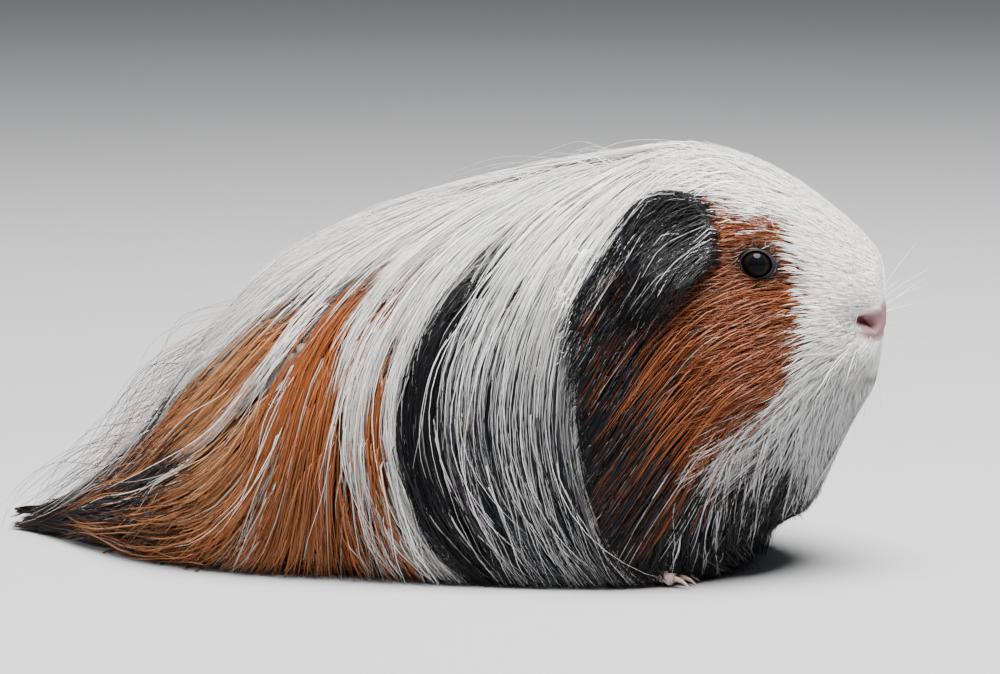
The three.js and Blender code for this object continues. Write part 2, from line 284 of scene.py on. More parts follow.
def dark_chest(s, deg):
    """Black hair below throat and chest, on both sides."""
    return smooth(4.6, 5.6, s) * smooth(112, 122, deg) * (1 - smooth(8.6, 9.0, s))


def right_markings(s, a, label=None):
    """Shares of red and black on its right side: cheek patch, dark ruff, bands of the flank."""
    deg = a / DEGREE
    label = flow_label(s, a) if label is None else label
    cheek = smooth(-0.1, 0.1, s - np.interp(deg, *CHEEK_FRONT)) * (1 - smooth(7.0, 7.5, s))
    cheek = cheek * smooth(-2, 2, deg - np.interp(s, *CHEEK_TOP))
    cheek = cheek * (1 - smooth(-4, 6, deg - np.interp(s, *CHEEK_LOW)))
    ahead_of_band = 1 - smooth(8.62, 8.78, label)
    ear_dark = smooth(6.2, 6.45, s - 0.012 * (deg - 60)) * ahead_of_band * smooth(36, 41, deg)
    under_dark = smooth(6.6, 7.4, s) * ahead_of_band * smooth(66, 84, deg)
    silver = band(label, 8.75, 10.1, 0.05) * smooth(44, 70, deg) * 0.42
    black_band = band(label, 10.08, 10.44, 0.05) * smooth(31, 38, deg)
    red = smooth(10.95, 11.05, label) * smooth(-3, 5, deg - np.interp(s, *REAR_TOP))
    black = np.clip(ear_dark + under_dark + dark_chest(s, deg) + silver + black_band, 0, 1)
    for colour, half, line in RUMP_STREAKS:
        share = streak(s, deg, line, half)
        red = red * (1 - share) + share * (colour == "red")
        black = black * (1 - share) + share * (colour == "black")
    red = np.clip(np.maximum(cheek, red * (1 - black)), 0, 1)
    # Painted shade behind the corner of the eye: a streak that takes from the red and, in the cheek patch,
    # draws black hair.
    shade = 0.5 * streak(s, deg, [(6.0, 57), (6.9, 58)], 2.2)
    return red * (1 - shade), np.where(cheek > 0.5, np.maximum(black * 0.15, shade), black)


def left_markings(s, a, label=None):
    """Shares of red and black on its left side: dark cheek and shoulder, red flank and rump."""
    deg = a / DEGREE
    label = flow_label(s, a) if label is None else label
    dark_cheek = smooth(4.5, 4.8, s) * (1 - smooth(8.7, 8.9, label)) * smooth(42, 47, deg + 3 * (s - 5))
    red_brow = band(s, 4.2, 5.0, 0.15) * band(deg, 50, 84, 4)
    saddle = band(label, 9.9, 10.9, 0.06) * smooth(34, 40, deg)
    rear_red = smooth(11.1, 11.2, label) * smooth(26, 34, deg)
    rump_dark = band(label, 12.4, 13.1, 0.1) * smooth(40, 50, deg)
    black = np.clip(dark_cheek + saddle + rump_dark + dark_chest(s, deg), 0, 1)
    red = np.clip(red_brow + rear_red * (1 - rump_dark), 0, 1)
    return red, np.clip(black - red_brow, 0, 1)


def markings(s, a, side, label=None):
    """Shares of red and black at a place on the skin, on either side."""
    return right_markings(s, a, label) if side < 0 else left_markings(s, a, label)


def pigment(s, a, side, rng, label=None):
    """WHITE, RED or BLACK for each root. The borders are ragged by a shift shared by neighbours."""
    shift = np.sin(np.floor(s / 0.09) * 91.7 + np.floor(a / (4 * DEGREE)) * 37.3)
    shift = shift * np.interp(s, [5, 7], [2.2, 1.0])
    blur = rng.normal(0, 1, np.shape(s)) * np.interp(s, [5.5, 7], [0.15, 0.0])
    red, black = markings(s + 0.05 * shift + blur, a + 2.2 * DEGREE * shift, side, label)
    draw = rng.random(np.shape(s))
    return np.where(draw < black, BLACK, np.where(draw < black + red, RED, WHITE))


# ---------------------------------------------------------------- how the hair lies

# Places where the lie was set with the comb: s, degrees, and the angle of the hair from straight
# down the ring towards the rear.
COAT_COMBED = np.array([
    (7.09, 22, 42), (7.79, 37, 39), (8.24, 51, 25), (8.50, 64, 18), (8.67, 76, 13), (8.77, 86, 5),
    (8.81, 98, 0), (8.77, 112, -12), (8.43, 29, 42), (9.03, 48, 31), (9.44, 63, 28), (9.72, 77, 19),
    (9.85, 88, 6), (9.79, 99, -18), (9.42, 110, -50), (8.97, 116, -62), (8.52, 20, 50), (9.66, 53, 37),
    (10.25, 78, 16), (10.30, 100, -16), (9.94, 112, -61), (8.95, 26, 56), (9.92, 42, 47), (10.61, 63, 30),
    (10.90, 85, -3), (10.57, 104, -39), (10.12, 114, -70), (9.64, 27, 60), (10.73, 48, 37), (11.30, 72, 14),
    (11.53, 10, 68), (13.27, 20, 81), (14.81, 29, 80), (11.19, 78, 12), (11.69, 100, 40), (12.57, 106, 70),
    (13.86, 98, 90), (15.0, 68, 100), (13.14, 41, 73), (12.05, 56, 44), (12.86, 77, 60), (11.54, 94, 24),
    (13.61, 89, 79), (15.0, 40, 94), (5.0, 10, 90), (6.2, 8, 86), (6.5, 30, 66), (7.5, 4, 74), (8.5, 4, 68),
    (9.5, 4, 72), (10.5, 4, 76), (12.0, 4, 83), (14.0, 4, 88), (16.3, 10, 90), (16.3, 60, 94),
    (16.3, 100, 90), (7.6, 60, 30), (7.6, 90, 12),
])
CHEEK_COMBED = np.array([
    (4.3, 69, 84), (5.51, 65, 80), (6.05, 76, 80), (5.63, 85, 80), (7.30, 85, 60), (5.41, 102, 64),
    (6.67, 80, 64), (7.69, 90, 50), (8.44, 100, 48), (7.03, 53, 52), (7.92, 67, 46), (7.89, 62, 48),
    (7.68, 95, 50), (7.13, 109, 46), (8.37, 74, 27), (6.48, 57, 78), (6.2, 46, 72), (8.6, 55, 22),
])
FACE_COMBED = np.array([
    (2.82, 59, 94), (3.66, 40, 98), (5.42, 38, 84), (3.38, 78, 82), (3.95, 93, 74), (3.38, 119, 48),
    (2.47, 163, 30), (4.54, 119, 62), (5.71, 21, 90), (6.23, 49, 86), (6.48, 57, 80), (1.0, 30, 95),
    (1.0, 90, 70), (1.0, 130, 40), (0.3, 60, 90), (2.0, 10, 90), (4.0, 5, 90), (6.0, 5, 88), (6.8, 30, 60),
    (1.8, 110, 60), (5.4, 65, 82), (5.6, 85, 84),
])
EAR_COMBED = np.array([
    (6.2, 40, 84), (6.65, 34, 96), (7.4, 35, 55), (7.86, 45, 30), (8.2, 58, 22), (6.62, 46, 62),
    (7.34, 54, 45), (7.94, 63, 42), (6.73, 52, 46), (7.33, 62, 40), (7.93, 73, 38), (8.4, 85, 25),
])


def combed(places, s, a):
    """The lie at s, a: the mean of the combed places, weighted by a bell curve of their distance."""
    total, weights = 0.0, 1e-9
    for place_s, degrees, lie in places:
        away = ((s - place_s) / 0.6) ** 2 + ((a / DEGREE - degrees) / 13.0) ** 2
        weight = np.exp(-0.5 * away) + 0.002 / (1 + away)
        total, weights = total + weight * lie, weights + weight
    return total / weights * DEGREE


def coat_lie(s, a):
    """Long coat: swept back near the back line, steep at the flank, curled forward along the hem."""
    return combed(COAT_COMBED, s, a)


def back_lie(s, a):
    """Along the back line, straight to the rear."""
    return 90 * DEGREE + 0 * a


def cheek_lie(s, a):
    """Cheek and ruff: almost straight back under the eye, then down behind the jaw."""
    return combed(CHEEK_COMBED, s, a)


def ear_lie(s, a):
    """Hair over the ear: back over its upper edge, then down along its rear rim."""
    return combed(EAR_COMBED, s, a)


def face_lie(s, a):
    """Short hair of the face: straight back on bridge and cheek, slanting down below the lip."""
    return combed(FACE_COMBED, s, a)


def beard_lie(s, a):
    """Beard and chest: down the ring, with a slant to the rear."""
    return np.interp(s, [1, 3, 5, 8], [14, 26, 34, 30]) * DEGREE + 0 * a


# Small step of s and a for a tangent, and how many rings before the last one a path ends.
TINY = 0.01
TIP_ROOM = 0.05


def trace(s, a, side, lie, swing, step, count):
    """Follows the lie of the coat from each root, as s and a after each step of the given length.

    Each step turns a direction in the surface into steps of s and a, by least squares on the
    surface's two tangents. Also returns the length run before the path meets the hem or the tip.
    """
    s = np.array(s, float)
    a = np.array(a, float)
    path = [np.stack([s, a], -1)]
    room = np.full(s.shape, step * count)
    for k in range(count):
        along_s, along_a = (way / (2 * TINY) for way in tangents(coat_point, s, a, side, TINY))
        down = unit(along_a)
        back = unit(along_s - (along_s * down).sum(-1, keepdims=True) * down)
        angle = lie(s, a) + swing * (0.4 + 0.6 * k / count)
        heading = np.cos(angle)[:, None] * down + np.sin(angle)[:, None] * back
        ss, sa, aa = (along_s ** 2).sum(-1), (along_s * along_a).sum(-1), (along_a ** 2).sum(-1)
        hs, ha = (heading * along_s).sum(-1) * step, (heading * along_a).sum(-1) * step
        det = np.maximum(ss * aa - sa * sa, 1e-3)
        s = s + np.clip((aa * hs - sa * ha) / det, -0.5, 0.5)
        a = a + np.clip((ss * ha - sa * hs) / det, -0.4, 0.4)
        hem = hem_angle(s)
        out = (a > hem) | (s > LAST_RING - TIP_ROOM)
        room = np.where(out, np.minimum(room, step * k), room)
        s = np.clip(s, 0.02, LAST_RING - TIP_ROOM)
        a = np.clip(a, 0.01, hem)
        path.append(np.stack([s, a], -1))
    return np.stack(path, 1), room


def lay(path, step, length, steps, depth, side):
    """Points and surface normals of each lock: its path cut at its length, in its own layer."""
    share = np.linspace(0, 1, steps)[None, :]
    index = np.clip(length[:, None] * share / step, 0, path.shape[1] - 1.001)
    low = index.astype(int)
    part = (index - low)[..., None]
    row = np.arange(len(path))[:, None]
    s, a = np.moveaxis(path[row, low] * (1 - part) + path[row, low + 1] * part, -1, 0)
    along_s, along_a = tangents(coat_point, s, a, side, TINY)
    points = layer_point(s, a, depth, side)
    outer = coat_point(s, a, side)[..., 2]
    near_hem = smooth(88 * DEGREE, 104 * DEGREE, a)
    points[..., 2] -= 0.8 * near_hem * np.maximum(points[..., 2] - outer, 0)
    return points, unit(np.cross(along_s, along_a)) * -side


def gather(points, roots, cell, pull):
    """Draws the hairs of each cell of the root grid together towards their tips."""
    key = np.floor(roots[:, 0] / cell[0]).astype(int) * 100003 + np.floor(roots[:, 1] / cell[1]).astype(int)
    _, group = np.unique(key, return_inverse=True)
    count = np.bincount(group).astype(float)
    share = np.linspace(0, 1, points.shape[1])[None, :, None] ** 1.4
    mean = np.stack([
        np.stack([np.bincount(group, points[:, k, c]) / count for c in range(3)], -1)
        for k in range(points.shape[1])
    ], 1)
    return points + (mean[group] - points) * share * pull


def wave(points, normals, size, turns, rng):
    """Adds a slow sideways wave that grows towards the tip."""
    share = np.linspace(0, 1, points.shape[1])[None, :]
    tangent = unit(np.gradient(points, axis=1))
    across = unit(np.cross(tangent, normals))
    phase = rng.random((len(points), 1)) * 2 * math.pi
    swing = size[:, None] * share * np.sin(phase + share * turns[:, None] * 2 * math.pi)
    return points + across * swing[..., None]


# ---------------------------------------------------------------- mesh making

NO_TRIANGLES = np.zeros((0, 3), int)


def new_mesh_object(name, points, quads, triangles=NO_TRIANGLES):
    """An object whose mesh has the points, in millimetres, and arrays of quads and triangles."""
    mesh = bpy.data.meshes.new(name)
    corners = np.concatenate([quads.ravel(), triangles.ravel()]).astype(np.int32)
    sizes = np.concatenate([np.full(len(quads), 4), np.full(len(triangles), 3)])
    starts = np.concatenate([[0], np.cumsum(sizes)[:-1]]).astype(np.int32)
    mesh.vertices.add(len(points))
    mesh.vertices.foreach_set("co", (points * MM).astype(np.float32).ravel())
    mesh.loops.add(len(corners))
    mesh.loops.foreach_set("vertex_index", corners)
    mesh.polygons.add(len(sizes))
    mesh.polygons.foreach_set("loop_start", starts)
    mesh.polygons.foreach_set("use_smooth", np.full(len(sizes), True))
    mesh.update(calc_edges=True)
    mesh.validate()
    made = bpy.data.objects.new(name, mesh)
    bpy.context.scene.collection.objects.link(made)
    return made


def paint(made, name, colours):
    """Stores one colour per vertex."""
    layer = made.data.color_attributes.new(name, "FLOAT_COLOR", "POINT")
    rgba = np.concatenate([colours, np.ones((len(colours), 1))], 1)
    layer.data.foreach_set("color", rgba.astype(np.float32).ravel())


def store(made, name, kind, domain_values, field="vector"):
    """Stores a number or a vector per vertex."""
    layer = made.data.attributes.new(name, kind, "POINT")
    layer.data.foreach_set(field, domain_values.astype(np.float32).ravel())


def grid_faces(rows, columns, wrap=False):
    """Quads of a grid whose columns run round and close, as its rows do where wrap is true."""
    i, j = np.meshgrid(np.arange(rows if wrap else rows - 1), np.arange(columns), indexing="ij")
    below, k = (i + 1) % rows, (j + 1) % columns
    corners = (i * columns + j, i * columns + k, below * columns + k, below * columns + j)
    return np.stack(corners, -1).reshape(-1, 4)


# Side of a lock's patch on the map OFBake, as a share of the map.
PATCH = 0.003


def root_map(s, a, side):
    """A root's place on the unwrap of the skin: along it, and round it."""
    u = 0.01 + 0.97 * s / LAST_RING
    v = 0.5 + side * a / (2 * math.pi) * 0.97
    return np.stack([u, np.broadcast_to(v, u.shape)], -1)


def strands(name, points, normals, width, colours, roots_uv, sides=3, flat=0.5):
    """Closed tapered tubes along the paths, one for each hair lock.

    A section is a flattened polygon across the path: its width times a taper along the lock,
    and flat times that along the normal. colours holds one colour per point of each path.
    """
    count, steps = points.shape[:2]
    tangent = unit(np.gradient(points, axis=1))
    across = unit(np.cross(tangent, normals))
    lift = unit(np.cross(across, tangent))
    turn = (np.arange(sides) + 0.25) / sides * 2 * math.pi
    section = np.cos(turn)[:, None] * across[:, :, None] + flat * np.sin(turn)[:, None] * lift[:, :, None]
    ring = points[:, :, None, :] + 0.5 * width[:, :, None, None] * section
    one = np.arange(steps * sides).reshape(steps, sides)
    nxt = np.roll(one, -1, axis=1)
    quads = np.stack([one[:-1], one[1:], nxt[1:], nxt[:-1]], -1).reshape(-1, 4)
    base = (np.arange(count) * steps * sides)[:, None, None]
    quads = (quads[None] + base).reshape(-1, 4)
    fan = [[0, k, k + 1] for k in range(1, sides - 1)]
    caps = np.concatenate([one[0][fan], one[-1][fan][:, ::-1]])
    caps = (caps[None] + base).reshape(-1, 3)
    made = new_mesh_object(name, ring.reshape(-1, 3), quads, caps)
    paint(made, "coat_colour", np.repeat(colours, sides, axis=1).reshape(-1, 3))
    pace = np.linalg.norm(np.diff(points, axis=1), axis=-1)
    run = np.concatenate([np.zeros((count, 1)), pace.cumsum(1)], 1)
    beside = 0.5 * width[:, :, None] * np.cos(turn)[None, None, :] + np.arange(count)[:, None, None] * 1.37
    grain = np.stack(np.broadcast_arrays(beside, run[:, :, None] * 0.05, 0.7 * beside), -1)
    store(made, "grain", "FLOAT_VECTOR", grain)
    rows, columns = np.linspace(-0.5, 0.5, steps)[:, None], np.linspace(-0.5, 0.5, sides)[None, :]
    patch = np.stack(np.broadcast_arrays(rows, columns), -1) * PATCH
    uv = (roots_uv[:, None, None, :] + patch[None]).reshape(-1, 2)
    corners = np.concatenate([quads.ravel(), caps.ravel()])
    layer = made.data.uv_layers.new(name="OFBake")
    layer.data.foreach_set("uv", np.clip(uv[corners], 0, 1).astype(np.float32).ravel())
    return made


# The most triangles of a coat piece. A lock has six for each step between rings, and two caps.
MAX_TRIANGLES = 190000


def coat_pieces(name, locks, material, flat):
    """The locks (points, normals, width, colours, map) shared out over as many pieces as keep
    each under the limit on triangles."""
    count, steps = locks[0].shape[:2]
    pieces = max(1, math.ceil(count * ((steps - 1) * 6 + 2) / MAX_TRIANGLES))
    for i in range(pieces):
        piece = strands(f"{name}_{i + 1}", *[part[i::pieces] for part in locks], flat=flat)
        finish_piece(piece, material)


def finish_piece(piece, material):
    """Gives the piece its material, and lets it ride on the body."""
    piece.data.materials.append(material)
    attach(piece, "root")


def taper(steps, width, root, point):
    """Width along each lock: narrower at the root, widest at a third, drawn out to the tip."""
    share = np.linspace(0, 1, steps)[None, :]
    shape = (root + (1 - root) * smooth(0, 0.3, share)) * (1 - (1 - point) * share ** 2.2)
    return width[:, None] * shape


# ---------------------------------------------------------------- colour of the hair

def lock_colours(kind, steps, colours, rng, gold=0.2, vary=0.2, root_dark=0.35):
    """A colour along each lock from its pigment: darker at the root, with a shade of its own.

    gold draws the red hair towards tan; each lock takes its own share of it.
    """
    count = len(kind)
    base = np.array([colours.white[:], colours.red[:], colours.black[:]])[kind]
    tan = np.minimum((gold * rng.uniform(0.2, 1.5, count) * (kind == RED))[:, None], 1)
    base = base * (1 - tan) + np.array(colours.tan) * tan
    shade = np.exp(rng.normal(0, 1, (count, 1)) * np.array([0.05, vary, 0.30])[kind][:, None])
    warm = rng.normal(0, 1, count)[:, None] * np.array([0.012, 0.06, 0.02])[kind][:, None]
    base = base * shade * np.concatenate([1 + warm, 1 + 0 * warm, 1 - warm], 1)
    pale = (rng.random(count) < np.array([0, 0.035, 0.03])[kind])[:, None]
    base = np.where(pale, base * 0.4 + np.array(colours.white) * 0.42, base)
    share = np.linspace(0, 1, steps)[None, :, None]
    dark = (root_dark * np.array([0.35, 1.0, 1.0])[kind])[:, None, None]
    along = 1 - dark * (1 - smooth(0, 0.35, share)) + 0.06 * share
    return np.clip(base[:, None, :] * along, 0, 0.95)


# ---------------------------------------------------------------- materials

class Wire:
    """A socket whose arithmetic adds Math nodes, so that shader maths reads as an expression."""

    def __init__(self, tree, socket):
        self.tree = tree
        self.socket = socket

    def _math(self, operation, first, second):
        node = self.tree.nodes.new("ShaderNodeMath")
        node.operation = operation
        for socket, value in zip(node.inputs, (first, second)):
            if isinstance(value, Wire):
                self.tree.links.new(value.socket, socket)
            else:
                socket.default_value = value
        return Wire(self.tree, node.outputs[0])

    def __add__(self, other):
        return self._math("ADD", self, other)

    def __radd__(self, other):
        return self._math("ADD", other, self)

    def __sub__(self, other):
        return self._math("SUBTRACT", self, other)

    def __rsub__(self, other):
        return self._math("SUBTRACT", other, self)

    def __mul__(self, other):
        return self._math("MULTIPLY", self, other)

    def __rmul__(self, other):
        return self._math("MULTIPLY", other, self)


class Finish:
    """A node material made through one method, add."""

    def __init__(self, name):
        self.material = bpy.data.materials.new(name)
        self.material.use_nodes = True
        self.tree = self.material.node_tree
        self.tree.nodes.clear()

    def add(self, kind, settings=None, output=0, **sockets):
        """A node of that type: its settings first, then values or links of its sockets."""
        node = self.tree.nodes.new(kind)
        for key, value in (settings or {}).items():
            if key == "stops":
                for stop, (position, colour) in zip(self._stops(node.color_ramp, len(value)), value):
                    stop.position = position
                    stop.color = colour
            else:
                setattr(node, key, value)
        for key, value in sockets.items():
            socket = node.inputs[int(key[1:])] if key[0] == "_" else node.inputs[key.replace("_", " ")]
            if isinstance(value, Wire):
                self.tree.links.new(value.socket, socket)
            else:
                socket.default_value = value
        return Wire(self.tree, node.outputs[output])

    @staticmethod
    def _stops(ramp, count):
        while len(ramp.elements) < count:
            ramp.elements.new(0.5)
        return ramp.elements

    def place(self):
        """Object coordinates."""
        return self.add("ShaderNodeTexCoord", output=3)

    def noise(self, scale, detail=3.0, vector=None):
        """Noise value; scale counts features in a metre."""
        return self.add("ShaderNodeTexNoise", Vector=vector or self.place(), Scale=scale, Detail=detail)

    def tint(self, colour, share):
        """A colour multiplied by a number."""
        grey = self.add("ShaderNodeCombineXYZ", X=share, Y=share, Z=share)
        return self.add("ShaderNodeVectorMath", {"operation": "MULTIPLY"}, _0=colour, _1=grey)

    def bump(self, height, distance, strength=1.0):
        return self.add("ShaderNodeBump", Height=height, Distance=distance, Strength=strength)

    def surface(self, **sockets):
        """The Principled shader and the output."""
        shader = self.add("ShaderNodeBsdfPrincipled", **sockets)
        output = self.tree.nodes.new("ShaderNodeOutputMaterial")
        self.tree.links.new(shader.socket, output.inputs["Surface"])
        return self.material


def hair_finish(name, roughness, specular, contrast):
    """Hair: the colour stored along each lock, streaked lengthwise as a bundle of single hairs."""
    finish = Finish(name)
    stored = finish.add("ShaderNodeAttribute", {"attribute_name": "coat_colour"})
    grain = finish.add("ShaderNodeAttribute", {"attribute_name": "grain"}, output=1)
    streaks = finish.noise(4.5, 2.0, grain)
    return finish.surface(
        Base_Color=finish.tint(stored, streaks * contrast + (1 - contrast / 2)), Roughness=roughness,
        Specular_IOR_Level=specular, Normal=finish.bump(streaks, 0.00012, 0.6),
    )


def skin_finish():
    """Skin under the fur: its stored colour, with a fine nap of short hairs as bump."""
    finish = Finish("skin")
    stored = finish.add("ShaderNodeAttribute", {"attribute_name": "skin_colour"})
    nap = finish.noise(2600.0, 2.0)
    mottle = finish.noise(900.0, 3.0) * 0.3 + 0.85
    return finish.surface(
        Base_Color=finish.tint(stored, mottle), Roughness=nap * 0.2 + 0.5,
        Normal=finish.bump(nap, 0.0003, 0.6), Specular_IOR_Level=0.15,
    )


def eye_finish(colours):
    """A wet dark eye: a brown iris fades into the pupil and the dark rim, by the angle from its axis."""
    finish = Finish("eye")
    angle = finish.add("ShaderNodeAttribute", {"attribute_name": "eye_angle"}, output=2)
    stops = [
        (0.0, (0.003, 0.003, 0.004, 1)), (0.30, (0.004, 0.003, 0.004, 1)),
        (0.36, (*colours.iris[:], 1)), (0.58, (*[c * 0.6 for c in colours.iris[:]], 1)),
        (0.68, (0.004, 0.003, 0.003, 1)), (1.0, (0.06, 0.04, 0.04, 1)),
    ]
    ring = finish.add("ShaderNodeValToRGB", {"stops": stops}, Fac=angle)
    return finish.surface(Base_Color=ring, Roughness=0.05, Specular_IOR_Level=0.05)


def horn_finish():
    """Claw horn: paler towards the tip, finely ridged."""
    finish = Finish("claw_horn")
    stored = finish.add("ShaderNodeAttribute", {"attribute_name": "coat_colour"})
    ridges = finish.noise(3000.0, 2.0)
    return finish.surface(
        Base_Color=finish.tint(stored, ridges * 0.3 + 0.85), Roughness=0.34,
        Normal=finish.bump(ridges, 0.0001, 0.3),
    )


def floor_finish(colour):
    """A pale floor with a faint grain, painted lighter further out: painted light where the lamp's light
    falls off.
    """
    finish = Finish("floor")
    grain = finish.noise(60.0, 4.0) * 0.04 + 0.98
    away = finish.add("ShaderNodeVectorMath", {"operation": "LENGTH"}, output=1, _0=finish.place())
    # Painted light: the floor's colour grows from once to 2.4 times its value between 0.3 and 2.5 metres from
    # the middle.
    far = finish.add("ShaderNodeMapRange", Value=away, From_Min=0.3, From_Max=2.5, To_Min=1.0, To_Max=2.4)
    grain = grain * far
    flat = finish.add("ShaderNodeRGB")
    flat.socket.default_value = (*colour, 1)
    return finish.surface(Base_Color=finish.tint(flat, grain), Roughness=0.8, Specular_IOR_Level=0.2)


def finish_named(name, make, *values):
    """The material of that name, made once."""
    return bpy.data.materials.get(name) or make(*values)


# ---------------------------------------------------------------- skin

# Lowest height of the skin of paws and limbs.
SOLE_GAP = 0.05


def ellipsoid_shell(centre, radii, rows=18, columns=28):
    """A closed ellipsoid with poles on Y, laid flat where it would reach below the floor."""
    u, v = np.linspace(0, math.pi, rows)[:, None], full_turn(columns)
    points = np.stack(np.broadcast_arrays(
        centre[0] + radii[0] * np.sin(u) * np.cos(v),
        centre[1] - radii[1] * np.cos(u) + 0 * v,
        centre[2] + radii[2] * np.sin(u) * np.sin(v),
    ), -1)
    points[..., 2] = np.maximum(points[..., 2], SOLE_GAP)
    return closed_grid(points)


def closed_grid(points):
    """A grid closed at both ends: its first and last rows meet in one point each."""
    rows, columns = points.shape[:2]
    ends = np.stack([points[0].mean(0), points[-1].mean(0)])
    flat = np.concatenate([points.reshape(-1, 3), ends])
    quads = grid_faces(rows, columns)
    j = np.arange(columns)
    k = (j + 1) % columns
    front = np.stack([np.full(columns, rows * columns), k, j], -1)
    last = (rows - 1) * columns
    back = np.stack([np.full(columns, rows * columns + 1), last + j, last + k], -1)
    return flat, quads, np.concatenate([front, back])


def tube_shell(path, radii, columns=14):
    """A closed round tube along a path, with its own radius at each point."""
    path = np.asarray(path, float)
    tangent = unit(np.gradient(path, axis=0))
    aside = unit(np.cross(tangent, np.array([0.13, 0.21, 1.0])))
    over = unit(np.cross(aside, tangent))
    v = full_turn(columns)[..., None]
    spin = np.cos(v) * aside[:, None] + np.sin(v) * over[:, None]
    points = path[:, None] + np.asarray(radii)[:, None, None] * spin
    points[..., 2] = np.maximum(points[..., 2], SOLE_GAP)
    return closed_grid(points)


def capsule_path(start, end, start_radius, end_radius, rows=14):
    """Points and radii of a limb with round ends: the radius follows a circle at each end."""
    start, end = np.asarray(start, float), np.asarray(end, float)
    length = np.linalg.norm(end - start)
    axis = (end - start) / length
    t = np.linspace(0, 1, rows)
    along = -start_radius + (length + start_radius + end_radius) * (0.5 - 0.5 * np.cos(math.pi * t))
    full = np.interp(along, [0, length], [start_radius, end_radius])
    before = np.clip(-along / start_radius, 0, 1)
    after = np.clip((along - length) / end_radius, 0, 1)
    radii = full * np.sqrt(np.clip(1 - np.maximum(before, after) ** 2, 0.0009, 1))
    return start + along[:, None] * axis, radii


def outward(points, quads, triangles):
    """The faces turned round if they enclose a negative volume."""
    def six_volumes(tri):
        p = points[tri]
        return (p[:, 0] * np.cross(p[:, 1], p[:, 2])).sum()

    volume = six_volumes(quads[:, :3]) + six_volumes(quads[:, [0, 2, 3]]) + six_volumes(triangles)
    return (quads, triangles) if volume > 0 else (quads[:, ::-1], triangles[:, ::-1])


def lip_line(x):
    """Height of the mouth's line at a distance x from the middle."""
    return 55.4 + 4.2 * (x / 15.6) ** 2


def nose_and_mouth(points):
    """Depth of the nostrils, the cleft below the nose and the mouth at each point of the face."""
    x, y, z = np.abs(points[..., 0]), points[..., 1], points[..., 2]
    ahead = smooth(-119, -123, y)
    across, height = x - 8.2, z - 73.4
    long_way = 0.75 * across + 0.66 * height
    short_way = -0.66 * across + 0.75 * height + 0.10 * long_way ** 2
    nostril = 2.8 * np.exp(-(long_way / 2.4) ** 2 - (short_way / 1.25) ** 2)
    wing = 0.5 * np.exp(-(np.hypot(across + 0.4, height) - 3.4) ** 2 / 0.9)
    cleft = 0.9 * np.exp(-(x / 0.6) ** 2) * band(z, 57.0, 70.0, 1.5)
    mouth = 0.8 * np.exp(-((z - lip_line(x)) / 0.9) ** 2) * (1 - smooth(8.0, 11.5, x))
    lower = 1.3 * band(z, 44.0, 54.0, 2.5) * (1 - smooth(7.0, 15.0, x))
    return ahead * (nostril - wing + cleft + mouth + lower)


def skin_colours(points, s, a, side, colours):
    """Colour of the skin: the coat's markings, bare pink nose, dark red nostrils and mouth, where the red
    lining is darkened as painted shade in the hollows.
    """
    red, black = np.where(side < 0, right_markings(s, a), left_markings(s, a))[..., None]
    coat = np.array(colours.white) * 0.95 * (1 - red) + np.array(colours.red) * 0.6 * red
    coat = coat * (1 - black) + np.array(colours.black) * black
    x, y, z = np.abs(points[..., 0]), points[..., 1], points[..., 2]
    pad = smooth(-125.0, -127.5, y) * band(z, 67.0, 79.0 - 0.25 * x, 2.6) * (1 - smooth(9.5, 13.0, x))
    lips = np.exp(-((z - lip_line(x)) / 1.8) ** 2) * smooth(-122, -125, y)
    pad = np.maximum(pad, 0.7 * lips)[..., None]
    coat = coat * (1 - pad) + np.array(colours.bare) * pad
    # Dark red where the skin is pushed in deepest, in nostrils and mouth: the lining's own red with painted
    # shade of the hollow.
    nostril = smooth(0.5, 1.6, nose_and_mouth(points))[..., None] * smooth(-121, -124, y)[..., None]
    return coat * (1 - nostril) + np.array([0.10, 0.018, 0.02]) * nostril


def body_shell(colours):
    """The body's skin as one closed grid over s and the whole turn of a, with nose and mouth."""
    s = np.concatenate([
        np.linspace(0.0, 1.6, 46), np.linspace(1.64, 4.0, 50), np.linspace(4.05, 7.0, 52),
        np.linspace(7.1, RUMP_RING, 60),
    ])[:, None]
    turn = full_turn(192)
    side = np.where(turn < math.pi, LEFT, RIGHT) + 0 * s
    a = np.where(turn < math.pi, turn, 2 * math.pi - turn) + 0 * s
    s = s + 0 * turn
    points = skin_point(s, a, side)
    along = np.gradient(points, axis=0)
    around = (np.roll(points, -1, axis=1) - np.roll(points, 1, axis=1)) / 2
    normals = unit(np.cross(around, along))
    outside = points - points.mean(1, keepdims=True)
    normals = normals * np.sign((normals * outside).sum(-1).mean())
    points = points - normals * nose_and_mouth(points)[..., None]
    flat, quads, triangles = closed_grid(points)
    colour = skin_colours(points, s, a, side, colours).reshape(-1, 3)
    return flat, quads, triangles, np.concatenate([colour, colour[:1], colour[-1:]])


def eye_frame(side):
    """Centre of the eye, its outward axis, and the almond's long and upward directions."""
    axis = unit(EYE_AXIS)
    along = np.array([5.9, -12.4, -3.5])
    along = unit(along - (along @ axis) * axis)
    over = unit(np.cross(along, axis))
    over = over * np.sign(over[2])
    return [part * mirror(side) for part in (EYE, axis, along, over)]


def skin_height(side, u, v):
    """Height of the skin over the eye's centre at u, v across its axis, by Newton's steps in s and a."""
    centre, axis, along, over = eye_frame(side)
    s, a = np.full(u.shape, 5.4), np.full(u.shape, 57 * DEGREE)
    small = 0.004
    for _ in range(8):
        here = skin_point(s, a, side) - centre
        by_s, by_a = (way / (2 * small) for way in tangents(skin_point, s, a, side, small))
        miss_u, miss_v = u - here @ along, v - here @ over
        m = [[by_s @ along, by_a @ along], [by_s @ over, by_a @ over]]
        det = m[0][0] * m[1][1] - m[0][1] * m[1][0]
        s = s + (miss_u * m[1][1] - miss_v * m[0][1]) / det
        a = a + (miss_v * m[0][0] - miss_u * m[1][0]) / det
    return (skin_point(s, a, side) - centre) @ axis


